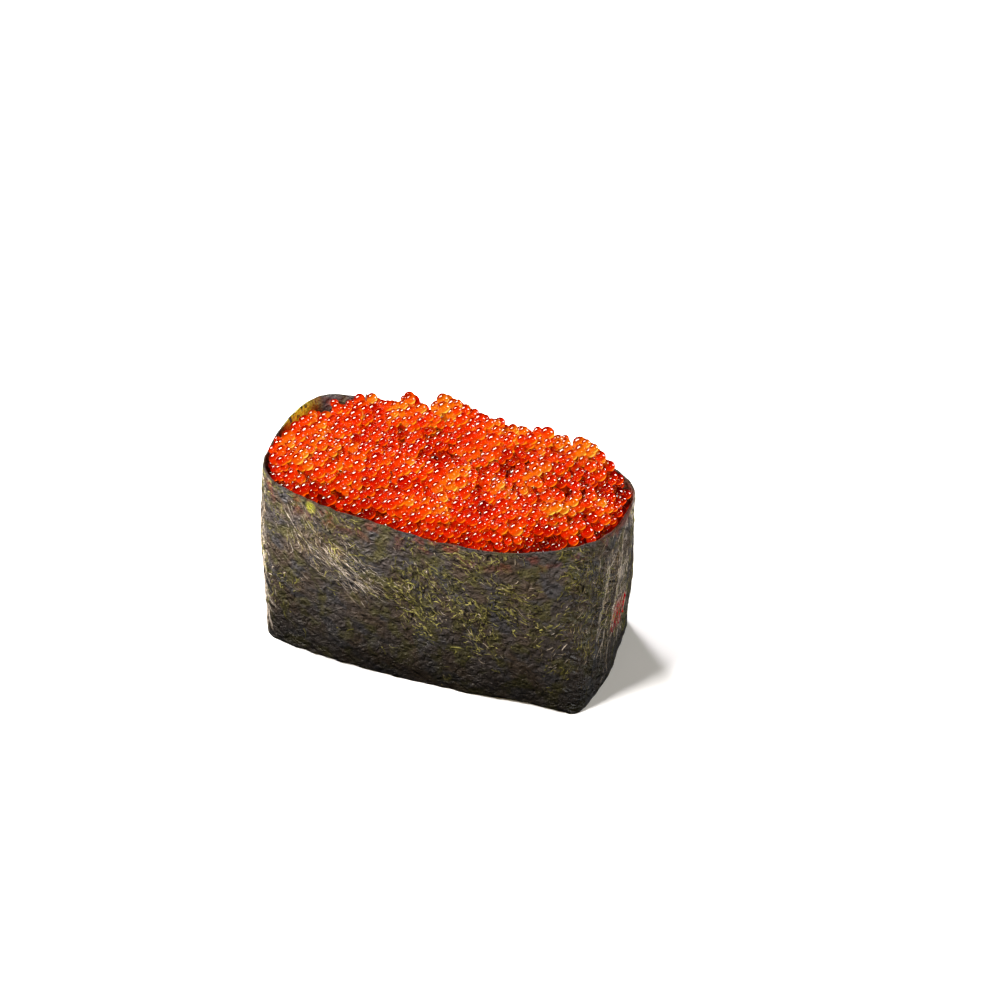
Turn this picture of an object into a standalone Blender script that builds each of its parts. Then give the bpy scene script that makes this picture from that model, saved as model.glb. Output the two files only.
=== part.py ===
"""Tobiko gunkan sushi: a nori strip wound round a block of rice, filled and heaped with flying fish roe.

The piece stands on the XY plane, its length along X, its front towards -Y and +Z up. Metres throughout.
"""

import math

import bmesh
import bpy
import numpy as np
from mathutils import Vector, geometry

# The wrap, seen from above: (half length, half width) of its rim and of its foot
RIM_HALF_SIZE = (0.02705, 0.01318)
FOOT_HALF_SIZE = (0.0255, 0.01255)
FOOT_SHIFT = (0.0002, 0.00005)
WRAP_HEIGHT = 0.0275

# Corner squareness, 2 being an ellipse: back right, back left, front left, front right
RIM_CORNERS = (2.9, 3.6, 5.0, 2.8)
FOOT_CORNERS = (6.3, 2.8, 6.6, 13.9)

# How far both ends swing to the back, and how far the right end alone does
RIM_BOW, RIM_SKEW = 0.0034, -0.0004
FOOT_BOW, FOOT_SKEW = -0.0002, 0.0010

# The nori strip
SHEET = 0.0004
LAP_GAP = 0.0001
COLUMNS = 72
LAP_COLUMNS = 5
LAP_RISE_COLUMNS = 3
SHEET_ROWS = 6
SEAM_TURN = 0.30
RIM_WAVE, FOOT_WAVE = 0.00012, 0.00025
EDGE_WAVES, EDGE_TWIST = 5.0, 4.0
EDGE_LIFT = 0.00004

# Soft waves pressed into the wrap: (waves round, waves up, depth, phase)
WAVES = (
    (2, 0.35, 0.00006, 0.4),
    (3, -0.60, 0.00007, 2.1),
    (5, 0.80, 0.00010, 4.0),
    (11, -1.30, 0.00007, 1.3),
)

# Bulges and dents in the wrap: (share of a turn, share of the height, turn radius, height radius, depth)
BULGES = (
    (0.53, 0.00, 0.060, 0.20, -0.00038),
    (0.53, 0.50, 0.060, 0.25, 0.00076),
    (0.98, 0.00, 0.035, 0.30, 0.00075),
    (0.03, 0.50, 0.050, 0.30, 0.00048),
    (0.80, 0.00, 0.060, 0.30, 0.00094),
    (0.68, 0.00, 0.060, 0.30, 0.00087),
)

# What lies inside keeps this far from the sheet
CLEARANCE = 0.0003

# The rice, and the grains on its underside
RICE_ROWS = 4
RICE_HEIGHT = WRAP_HEIGHT * RICE_ROWS / SHEET_ROWS
GRAIN_SIZE = (0.0070, 0.0032, 0.0024)
GRAIN_PITCH = (0.0065, 0.0031)
GRAIN_SHAKE = 0.14
GRAIN_TURN = 0.6
GRAIN_RELIEF = 0.0005
GRAIN_DEPTH = 0.0008
GRAIN_SIDES, GRAIN_RINGS = 8, 4
GRAIN_SEED = 5
FOOTPRINT_POINTS = 13

# The roe heap
EGG = 0.0020
EGG_PITCH = 0.0022
EGG_SHAKE = 0.27
EGG_LIFT = 0.00022
HEAP_RISE = 0.0044
HEAP_STEEPNESS = 6.5
HEAP_DROP = 0.0001
HEAP_DEPTH = 0.013
HEADROOM = 0.02
ROE_SEED = 11

# An egg's dome: how far out its ring lies, how far below its top the ring and the pits between eggs are
RING_SHARE = 0.62
RING_DROP = 0.24 * EGG / 2.0
PIT_DROP = 0.95 * EGG / 2.0
FEWEST_PITS = 4
WIDEST_GAP = 2.6

# The chart of the heap's face: how far past the rim it runs, how steeply it falls there, how many eggs spare
CHART_REACH = 1.35
CHART_FALL = 0.03
CHART_SPARE_EGGS = 4.0

# Loose eggs standing on the top layer
LOOSE_EGGS = 24
LOOSE_LIFT = 0.12
LOOSE_REACH = 0.86
LOOSE_SPACING = 1.7
LOOSE_SIZES = (0.90, 1.10)

# Lumps and hollows of the heap: (x, y, radius, height)
LUMPS = (
    (-0.0245, 0.0080, 0.0035, -0.0012),
    (-0.0187, 0.0090, 0.0040, -0.0004),
    (-0.0129, 0.0093, 0.0024, -0.0010),
    (-0.0093, 0.0084, 0.0027, 0.0029),
    (-0.0068, 0.0093, 0.0020, -0.0012),
    (-0.0046, 0.0082, 0.0029, 0.0031),
    (-0.0006, 0.0084, 0.0030, 0.0027),
    (0.0075, 0.0080, 0.0030, 0.0024),
    (0.0138, 0.0075, 0.0034, 0.0020),
    (0.0195, 0.0070, 0.0032, 0.0031),
    (0.0000, 0.0000, 0.0080, -0.0010),
    (-0.0185, -0.0005, 0.0040, 0.0006),
    (-0.0110, -0.0020, 0.0024, -0.0007),
    (-0.0060, -0.0050, 0.0026, 0.0009),
    (0.0048, -0.0030, 0.0028, 0.0010),
    (0.0130, 0.0015, 0.0032, 0.0008),
    (0.0095, -0.0070, 0.0026, -0.0011),
    (0.0155, -0.0055, 0.0028, -0.0009),
    (0.0205, -0.0035, 0.0030, 0.0006),
)

NORI_COLOUR = (0.035, 0.040, 0.030)
RICE_COLOUR = (0.86, 0.83, 0.74)
ROE_COLOUR = (0.95, 0.16, 0.01)


def clear_scene():
    """Remove whatever the file opened with."""
    for obj in list(bpy.data.objects):
        bpy.data.objects.remove(obj, do_unlink=True)


def make_material(name, colour, roughness):
    """Return a Principled material of one plain finish."""
    material = bpy.data.materials.new(name)
    material.use_nodes = True
    shader = material.node_tree.nodes["Principled BSDF"]
    shader.inputs["Base Color"].default_value = (*colour, 1.0)
    shader.inputs["Roughness"].default_value = roughness
    shader.inputs["Metallic"].default_value = 0.0
    return material


def plan_outline(half_size, corners, bow, skew, shift=(0.0, 0.0)):
    """Return evenly spaced points round a rounded oblong that starts at +X and runs anticlockwise."""
    half_length, half_width = half_size
    angles = np.linspace(0.0, 2.0 * math.pi, 20 * COLUMNS + 1)
    across, along = np.cos(angles), np.sin(angles)
    quadrant = np.minimum((angles / (math.pi / 2)).astype(int), 3)
    power = np.array(corners)[quadrant]
    reach = (np.abs(across / half_length) ** power + np.abs(along / half_width) ** power) ** (-1.0 / power)
    x, y = reach * across, reach * along
    y = y + bow * (x / half_length) ** 2 + skew * x / half_length
    travelled = np.concatenate([[0.0], np.cumsum(np.hypot(np.diff(x), np.diff(y)))])
    wanted = np.linspace(0.0, travelled[-1], COLUMNS, endpoint=False)
    return np.stack([np.interp(wanted, travelled, x), np.interp(wanted, travelled, y)], axis=1) + shift


def wave_depth(turns, level):
    """Return how far the wrap stands out, for shares of a turn and a share of the height."""
    waves = sum(
        depth * np.sin(2.0 * math.pi * (around * turns + up * level) + phase)
        for around, up, depth, phase in WAVES
    )
    bulges = 0.0
    for turn, height, turn_radius, height_radius, depth in BULGES:
        around = (turns - turn + 0.5) % 1.0 - 0.5
        bulges = bulges + depth * np.exp(-((around / turn_radius) ** 2) - ((level - height) / height_radius) ** 2)
    return waves + bulges


def wrap_ring(level, inset=0.0, count=COLUMNS):
    """Return the plan points of the wrap's outer face at a share of its height, moved inwards by inset."""
    foot = plan_outline(FOOT_HALF_SIZE, FOOT_CORNERS, FOOT_BOW, FOOT_SKEW, FOOT_SHIFT)
    rim = plan_outline(RIM_HALF_SIZE, RIM_CORNERS, RIM_BOW, RIM_SKEW)
    share = min(max(level, 0.0), 1.0)
    ring = foot + (rim - foot) * share
    along = np.roll(ring, -1, axis=0) - np.roll(ring, 1, axis=0)
    along /= np.linalg.norm(along, axis=1)[:, None]
    outward = np.stack([along[:, 1], -along[:, 0]], axis=1)
    turns = np.arange(COLUMNS) / COLUMNS
    ring = ring + outward * (wave_depth(turns, share) - inset)[:, None]
    return ring[:: COLUMNS // count]


def ring_reach(ring):
    """Return a ring's middle, and the angles and distances of its points from there, in order of angle."""
    centre = ring.mean(axis=0)
    spokes = ring - centre
    angles = np.arctan2(spokes[:, 1], spokes[:, 0])
    order = np.argsort(angles)
    return centre, angles[order], np.hypot(*spokes.T)[order]


def is_inside(ring, points):
    """Return whether all of some plan points lie inside a ring."""
    centre, angles, reach = ring_reach(ring)
    spokes = points - centre
    limit = np.interp(np.arctan2(spokes[:, 1], spokes[:, 0]), angles, reach, period=2.0 * math.pi)
    return bool((np.hypot(*spokes.T) < limit).all())


def link(name, mesh, collection, material=None):
    """Return a new object of that mesh in a collection."""
    obj = bpy.data.objects.new(name, mesh)
    collection.objects.link(obj)
    if material:
        mesh.materials.append(material)
    return obj


def loft(name, rings, heights):
    """Return a closed mesh through rings of plan points, one for each height."""
    model = bmesh.new()
    levels = [
        [model.verts.new((x, y, height)) for x, y in ring] for ring, height in zip(rings, heights)
    ]
    count = len(levels[0])
    for low, high in zip(levels, levels[1:]):
        for i in range(count):
            j = (i + 1) % count
            model.faces.new((low[i], low[j], high[j], high[i]))
    model.faces.new(levels[0][::-1])
    model.faces.new(levels[-1])
    mesh = bpy.data.meshes.new(name)
    model.to_mesh(mesh)
    model.free()
    return mesh


def boolean(obj, operation, other=None, collection=None, solver="EXACT"):
    """Apply one Boolean to obj, with an object or with all the objects of a collection."""
    modifier = obj.modifiers.new(operation.title(), "BOOLEAN")
    modifier.operation = operation
    modifier.solver = solver
    if collection:
        modifier.operand_type = "COLLECTION"
        modifier.collection = collection
    else:
        modifier.object = other
    bpy.context.view_layer.update()
    evaluated = obj.evaluated_get(bpy.context.evaluated_depsgraph_get())
    applied = bpy.data.meshes.new_from_object(evaluated)
    obj.modifiers.remove(modifier)
    obj.data = applied
    used = list(collection.objects) if collection else [other]
    for piece in used:
        bpy.data.objects.remove(piece, do_unlink=True)


def build_nori(collection, material):
    """Wind the strip a little over one turn, its outer end lapping over its inner end."""
    total = COLUMNS + LAP_COLUMNS
    first = round(SEAM_TURN * COLUMNS)
    rise_start = COLUMNS - LAP_RISE_COLUMNS
    model = bmesh.new()
    rows = []
    for row in range(SHEET_ROWS + 1):
        level = row / SHEET_ROWS
        flat = wrap_ring(level)
        lapped = wrap_ring(level, inset=-(SHEET + LAP_GAP))
        line = []
        for step in range(total + 1):
            column = (first + step) % COLUMNS
            share = min(max((step - rise_start) / LAP_RISE_COLUMNS, 0.0), 1.0)
            x, y = flat[column] + (lapped[column] - flat[column]) * share
            height = FOOT_WAVE + (RIM_WAVE - FOOT_WAVE) * level
            wave = math.sin(2.0 * math.pi * EDGE_WAVES * column / COLUMNS + EDGE_TWIST * level)
            line.append(model.verts.new((x, y, WRAP_HEIGHT * level + height * (1.0 + wave) + EDGE_LIFT)))
        rows.append(line)
    for low, high in zip(rows, rows[1:]):
        for i in range(total):
            model.faces.new((low[i], low[i + 1], high[i + 1], high[i]))
    mesh = bpy.data.meshes.new("nori_wrap")
    model.to_mesh(mesh)
    model.free()
    obj = link("nori_wrap", mesh, collection, material)
    sheet = obj.modifiers.new("Sheet", "SOLIDIFY")
    sheet.thickness = SHEET
    sheet.offset = -1.0
    split = obj.modifiers.new("Split", "TRIANGULATE")
    split.quad_method = "FIXED"
    return obj


def build_rice(collection, material):
    """Press a block of rice into the wrap, its grains showing on the underside."""
    inset = SHEET + CLEARANCE
    heights = [GRAIN_RELIEF, *(WRAP_HEIGHT * row / SHEET_ROWS for row in range(1, RICE_ROWS + 1))]
    rings = [wrap_ring(z / WRAP_HEIGHT, inset, COLUMNS // 2) for z in heights]
    obj = link("rice_block", loft("rice_block", rings, heights), collection, material)

    grains = bpy.data.collections.new("rice_grains")
    bpy.context.scene.collection.children.link(grains)
    random = np.random.default_rng(GRAIN_SEED)
    edge = wrap_ring(0.0, inset)
    half_x, half_y = np.abs(edge).max(axis=0)
    pitch_x, pitch_y = GRAIN_PITCH
    rows = int(half_y // pitch_y)
    columns = int(half_x // pitch_x)
    for row in range(-rows, rows + 1):
        for column in range(-columns, columns + 1):
            at_home = row == 0 and column == 0
            shake = (0.0, 0.0) if at_home else random.uniform(-GRAIN_SHAKE, GRAIN_SHAKE, 2)
            x = (column + 0.5 * (row % 2) + shake[0]) * pitch_x
            y = (row + shake[1]) * pitch_y
            turn = 0.0 if at_home else random.uniform(-GRAIN_TURN, GRAIN_TURN)
            around = np.linspace(0.0, 2.0 * math.pi, FOOTPRINT_POINTS)
            long_way, short_way = GRAIN_SIZE[0] / 2.0 * np.cos(around), GRAIN_SIZE[1] / 2.0 * np.sin(around)
            footprint = np.stack(
                [
                    x + long_way * math.cos(turn) - short_way * math.sin(turn),
                    y + long_way * math.sin(turn) + short_way * math.cos(turn),
                ],
                axis=1,
            )
            if not is_inside(edge, footprint):
                continue
            bpy.ops.mesh.primitive_uv_sphere_add(
                segments=GRAIN_SIDES, ring_count=GRAIN_RINGS, radius=0.5, location=(x, y, GRAIN_DEPTH)
            )
            grain = bpy.context.object
            grain.scale = GRAIN_SIZE
            grain.rotation_euler.z = turn
            for owner in list(grain.users_collection):
                owner.objects.unlink(grain)
            grains.objects.link(grain)
    boolean(obj, "UNION", collection=grains)
    bpy.data.collections.remove(grains)

    side = 4.0 * RIM_HALF_SIZE[0]
    bpy.ops.mesh.primitive_cube_add(size=side, location=(0.0, 0.0, side / 2.0))
    boolean(obj, "INTERSECT", other=bpy.context.object)
    return obj


def lump_height(x, y):
    """Return how much the lumps and hollows add to the heap at plan points."""
    return sum(
        height * np.exp(-((x - cx) ** 2 + (y - cy) ** 2) / radius**2)
        for cx, cy, radius, height in LUMPS
    )


class RoeSurface:
    """The heap's upper face, addressed by a flat chart on which distances are those along the face."""

    STEPS = 60

    def __init__(self):
        self.centre, self.angles, self.reach = ring_reach(wrap_ring(1.0, SHEET + CLEARANCE))

    def plan(self, chart_x, chart_y):
        """Return plan points and their share of the way to the rim, for points of the chart."""
        angle = np.arctan2(chart_y, chart_x)
        reach = np.interp(angle, self.angles, self.reach, period=2.0 * math.pi)
        shares = np.linspace(0.0, CHART_REACH, self.STEPS)[:, None]
        slope = HEAP_RISE * HEAP_STEEPNESS * np.minimum(shares, 1.0) ** (HEAP_STEEPNESS - 1.0)
        speed = np.hypot(np.broadcast_to(reach, (self.STEPS, reach.size)), slope)
        step = shares[1, 0]
        travelled = np.vstack([np.zeros(reach.size), np.cumsum((speed[1:] + speed[:-1]) / 2.0 * step, axis=0)])
        wanted = np.hypot(chart_x, chart_y)
        share = np.array(
            [np.interp(w, travelled[:, i], shares[:, 0]) for i, w in enumerate(wanted)]
        )
        x = self.centre[0] + share * reach * np.cos(angle)
        y = self.centre[1] + share * reach * np.sin(angle)
        return x, y, share

    def points(self, chart):
        """Return points on the face for an array of chart points."""
        x, y, share = self.plan(chart[:, 0], chart[:, 1])
        height = WRAP_HEIGHT - HEAP_DROP + HEAP_RISE * (1.0 - np.minimum(share, 1.0) ** HEAP_STEEPNESS)
        overrun = np.maximum(share - 1.0, 0.0)
        return np.stack([x, y, height + lump_height(x, y) - CHART_FALL * overrun], axis=1)

    def normals(self, chart):
        """Return unit normals of the face for an array of chart points."""
        nudge = EGG / 4.0
        along = self.points(chart + (nudge, 0.0)) - self.points(chart - (nudge, 0.0))
        across = self.points(chart + (0.0, nudge)) - self.points(chart - (0.0, nudge))
        normal = np.cross(along, across)
        return normal / np.linalg.norm(normal, axis=1)[:, None]

    def chart_size(self):
        """Return half the chart's length and width, a few eggs beyond the rim."""
        margin = CHART_SPARE_EGGS * EGG_PITCH
        return self.reach.max() + margin, self.reach.min() + margin


def egg_sites(surface, random):
    """Return chart points for the eggs of the top layer: a shaken honeycomb."""
    half_x, half_y = surface.chart_size()
    row_pitch = EGG_PITCH * math.sqrt(3.0) / 2.0
    rows = int(half_y / row_pitch)
    columns = int(half_x / EGG_PITCH)
    sites = [
        ((column + 0.5 * (row % 2)) * EGG_PITCH, row * row_pitch)
        for row in range(-rows, rows + 1)
        for column in range(-columns, columns + 1)
    ]
    sites = np.array(sites)
    return sites + random.uniform(-EGG_SHAKE, EGG_SHAKE, sites.shape) * EGG_PITCH


def build_relief(surface, sites, lifts):
    """Return a closed slab whose upper face has one dome for each egg."""
    found = geometry.delaunay_2d_cdt([Vector(site) for site in sites], [], [], 0, EGG / 1e6)
    triangles = [face for face in found[2] if len(face) == 3]
    corners = np.array(triangles)
    pit_chart = sites[corners].mean(axis=1)
    pit_points = surface.points(pit_chart) - surface.normals(pit_chart) * PIT_DROP
    tops = surface.points(sites) + surface.normals(sites) * lifts[:, None]

    around = [[] for _ in sites]
    for index, triangle in enumerate(triangles):
        for corner in triangle:
            around[corner].append(index)

    model = bmesh.new()
    pits = [model.verts.new(point) for point in pit_points]
    for site, touching in enumerate(around):
        spokes = pit_chart[touching] - sites[site]
        angles = np.arctan2(spokes[:, 1], spokes[:, 0])
        order = np.argsort(angles)
        gaps = np.diff(np.append(angles[order], angles[order][0] + 2.0 * math.pi))
        if len(touching) < FEWEST_PITS or gaps.max() > WIDEST_GAP:
            continue
        ring_chart = sites[site] + spokes[order] * RING_SHARE
        ring_points = surface.points(ring_chart) + surface.normals(ring_chart) * (lifts[site] - RING_DROP)
        top = model.verts.new(tops[site])
        ring = [model.verts.new(point) for point in ring_points]
        low = [pits[touching[i]] for i in order]
        for i in range(len(ring)):
            j = (i + 1) % len(ring)
            model.faces.new((top, ring[i], ring[j]))
            model.faces.new((ring[i], low[i], low[j]))
            model.faces.new((ring[i], low[j], ring[j]))
    bmesh.ops.delete(model, geom=[v for v in model.verts if not v.link_faces], context="VERTS")

    border = [edge for edge in model.edges if edge.is_boundary]
    extruded = bmesh.ops.extrude_edge_only(model, edges=border)["geom"]
    for vert in (item for item in extruded if isinstance(item, bmesh.types.BMVert)):
        vert.co.z = WRAP_HEIGHT - HEAP_DEPTH
    floor = [e for e in extruded if isinstance(e, bmesh.types.BMEdge) and e.is_boundary]
    bmesh.ops.contextual_create(model, geom=floor)
    bmesh.ops.recalc_face_normals(model, faces=model.faces)
    mesh = bpy.data.meshes.new("tobiko_heap")
    model.to_mesh(mesh)
    model.free()
    return mesh


def build_roe(collection, material):
    """Heap the roe on the rice: a relief of eggs trimmed to the wrap, with loose eggs fused on top."""
    random = np.random.default_rng(ROE_SEED)
    surface = RoeSurface()
    sites = egg_sites(surface, random)
    lifts = random.uniform(-EGG_LIFT, EGG_LIFT, len(sites))
    obj = link("tobiko_heap", build_relief(surface, sites, lifts), collection, material)

    floor = RICE_HEIGHT + CLEARANCE
    heights = (floor, (floor + WRAP_HEIGHT) / 2.0, WRAP_HEIGHT, WRAP_HEIGHT + HEADROOM)
    rings = [wrap_ring(z / WRAP_HEIGHT, SHEET + CLEARANCE, COLUMNS // 2) for z in heights]
    well = link("well", loft("well", rings, heights), bpy.context.scene.collection)
    boolean(obj, "INTERSECT", other=well)

    eggs = bpy.data.collections.new("loose_eggs")
    bpy.context.scene.collection.children.link(eggs)
    shares = surface.plan(sites[:, 0], sites[:, 1])[2]
    points, normals = surface.points(sites), surface.normals(sites)
    taken = []
    for site in random.permutation(np.flatnonzero(shares < LOOSE_REACH)):
        if len(taken) == LOOSE_EGGS:
            break
        if any(np.linalg.norm(points[site] - points[other]) < LOOSE_SPACING * EGG for other in taken):
            continue
        taken.append(site)
        size = EGG * random.uniform(*LOOSE_SIZES)
        centre = points[site] + normals[site] * LOOSE_LIFT * EGG / 2.0
        bpy.ops.mesh.primitive_ico_sphere_add(subdivisions=1, radius=size / 2.0, location=centre)
        egg = bpy.context.object
        egg.rotation_euler = random.uniform(0.0, math.pi, 3)
        for owner in list(egg.users_collection):
            owner.objects.unlink(egg)
        eggs.objects.link(egg)
    boolean(obj, "UNION", collection=eggs, solver="MANIFOLD")
    bpy.data.collections.remove(eggs)
    return obj


def stand_at_origin(parts):
    """Move all parts together so that the middle of the whole's foot is the origin."""
    bpy.context.view_layer.update()
    graph = bpy.context.evaluated_depsgraph_get()
    corners = np.array([corner for part in parts for corner in part.evaluated_get(graph).bound_box])
    low, high = corners.min(axis=0), corners.max(axis=0)
    shift = Vector((-(low[0] + high[0]) / 2.0, -(low[1] + high[1]) / 2.0, -low[2]))
    for part in parts:
        part.location = shift


def main():
    """Build the piece of sushi."""
    clear_scene()
    collection = bpy.data.collections.new("tobiko_sushi")
    bpy.context.scene.collection.children.link(collection)
    parts = [
        build_nori(collection, make_material("nori", NORI_COLOUR, 0.6)),
        build_rice(collection, make_material("rice", RICE_COLOUR, 0.5)),
        build_roe(collection, make_material("roe", ROE_COLOUR, 0.15)),
    ]
    stand_at_origin(parts)


main()
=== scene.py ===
"""Tobiko gunkan sushi: a crinkled nori strip wound round pressed rice and heaped with wet flying fish roe.

The piece stands on the XY plane, its length along X, its front towards -Y and +Z up. Metres throughout,
except that places on the strip are given in millimetres along it and up it.
"""

from __future__ import annotations

import logging
import math
from dataclasses import dataclass, field
from enum import Enum

import bmesh
import bpy
import numpy as np
from mathutils import Matrix, Vector


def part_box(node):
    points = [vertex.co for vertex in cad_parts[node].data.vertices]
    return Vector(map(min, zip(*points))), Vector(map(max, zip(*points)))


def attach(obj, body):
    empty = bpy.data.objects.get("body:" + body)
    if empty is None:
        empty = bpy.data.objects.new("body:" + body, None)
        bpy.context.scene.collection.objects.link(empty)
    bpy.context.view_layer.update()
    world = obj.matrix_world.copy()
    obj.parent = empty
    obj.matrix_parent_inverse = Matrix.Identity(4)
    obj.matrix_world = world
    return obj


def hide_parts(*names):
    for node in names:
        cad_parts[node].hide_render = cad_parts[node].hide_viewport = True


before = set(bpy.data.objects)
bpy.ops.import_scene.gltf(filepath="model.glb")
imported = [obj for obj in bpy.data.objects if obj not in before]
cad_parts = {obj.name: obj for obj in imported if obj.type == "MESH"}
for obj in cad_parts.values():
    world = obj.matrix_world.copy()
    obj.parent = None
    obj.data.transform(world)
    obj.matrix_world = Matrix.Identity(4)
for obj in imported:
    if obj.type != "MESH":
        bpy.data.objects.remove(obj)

Colour = tuple[float, float, float]
Socket = bpy.types.NodeSocket

LOG = logging.getLogger("tobiko")
BODY = "root"
MILLI = 0.001
FULL_TURN = 2.0 * math.pi
WHITE: Colour = (1.0, 1.0, 1.0)
TO_KEY: tuple[float, float, float] = (-0.60, -0.03, 0.79)


def rgba(colour: Colour) -> tuple[float, float, float, float]:
    """Return a colour with full alpha."""
    return (*colour, 1.0)


def smooth_mesh(name: str, points: np.ndarray, faces: np.ndarray) -> bpy.types.Mesh:
    """Return a smooth-shaded mesh of faces that all have the same number of corners.

    Args:
        name: The mesh's name.
        points: One row of x, y and z for each vertex.
        faces: One row of vertex numbers for each face.

    Returns:
        The new mesh.
    """
    corners = faces.shape[1]
    mesh = bpy.data.meshes.new(name)
    mesh.vertices.add(len(points))
    mesh.vertices.foreach_set("co", points.astype(np.float32).ravel())
    mesh.loops.add(faces.size)
    mesh.loops.foreach_set("vertex_index", faces.astype(np.int32).ravel())
    mesh.polygons.add(len(faces))
    mesh.polygons.foreach_set("loop_start", np.arange(0, faces.size, corners, dtype=np.int32))
    mesh.update(calc_edges=True)
    mesh.polygons.foreach_set("use_smooth", np.ones(len(faces), dtype=bool))
    mesh.validate()
    return mesh


def quads(*corners: np.ndarray) -> np.ndarray:
    """Return one row of four vertex numbers for each place of four like arrays."""
    return np.stack(corners, axis=-1).reshape(-1, 4)


def place(name: str, mesh: bpy.types.Mesh, material: bpy.types.Material) -> bpy.types.Object:
    """Return a new piece that rides on the one body, with its finish.

    Args:
        name: The piece's name.
        mesh: Its mesh, already in place.
        material: Its finish.

    Returns:
        The new object.
    """
    piece = bpy.data.objects.new(name, mesh)
    bpy.context.scene.collection.objects.link(piece)
    mesh.materials.append(material)
    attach(piece, BODY)
    LOG.info("%s: %d faces", name, len(mesh.polygons))
    return piece


def note_on_points(mesh: bpy.types.Mesh, name: str, values: np.ndarray) -> None:
    """Store one number for each vertex under a name that the materials read."""
    mesh.attributes.new(name, "FLOAT", "POINT").data.foreach_set("value", values.astype(np.float32))


def ball(divisions: int) -> tuple[np.ndarray, np.ndarray]:
    """Return the points and triangles of a ball of radius 1, cut from a twenty-sided solid."""
    model = bmesh.new()
    bmesh.ops.create_icosphere(model, subdivisions=divisions, radius=1.0)
    points = np.array([vert.co[:] for vert in model.verts])
    faces = np.array([[vert.index for vert in face.verts] for face in model.faces])
    model.free()
    return points, faces


def polar(points: np.ndarray, middle: np.ndarray) -> tuple[np.ndarray, np.ndarray]:
    """Return the angles of plan points about a middle, rising, and their distances from it."""
    spokes = points - middle
    angles = np.arctan2(spokes[:, 1], spokes[:, 0])
    order = np.argsort(angles)
    return angles[order], np.hypot(spokes[:, 0], spokes[:, 1])[order]


@dataclass(frozen=True)
class Ripples:
    """Smooth random heights between -1 and 1 over a plane, the same each time for one seed."""

    seed: int
    cells: int = 256

    def at(self, x: np.ndarray, y: np.ndarray) -> np.ndarray:
        """Return the heights at plane points, one cell of the lattice to a unit.

        Args:
            x: First coordinates.
            y: Second coordinates.

        Returns:
            One height for each point.
        """
        lattice = np.random.default_rng(self.seed).uniform(-1.0, 1.0, (self.cells, self.cells))
        column, row = np.floor(x).astype(int), np.floor(y).astype(int)
        across, along = x - column, y - row
        across = across * across * (3.0 - 2.0 * across)
        along = along * along * (3.0 - 2.0 * along)
        left, right = column % self.cells, (column + 1) % self.cells
        low, high = row % self.cells, (row + 1) % self.cells
        bottom = lattice[left, low] * (1.0 - across) + lattice[right, low] * across
        top = lattice[left, high] * (1.0 - across) + lattice[right, high] * across
        return bottom * (1.0 - along) + top * along

    def over(self, x: np.ndarray, y: np.ndarray, cell: float, start: float = 0.0) -> np.ndarray:
        """Return the heights for cells of a given width, from a given start in the lattice."""
        return self.at(x / cell + start, y / cell + start)

    def ridges(self, x: np.ndarray, y: np.ndarray) -> np.ndarray:
        """Return heights between -0.5 and 0.5 that rise to sharp crests."""
        return 1.0 - np.abs(self.at(x, y)) - 0.5


@dataclass(frozen=True)
class Cloud:
    """A cloudy pattern, read at a place that is turned and then stretched, and the span that it is cut to."""

    scale: float
    detail: float = 2.0
    twist: float = 0.0
    stretch: tuple[float, float] = (1.0, 1.0)
    turn: float = 0.0
    low: float = 0.0
    high: float = 1.0


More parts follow.
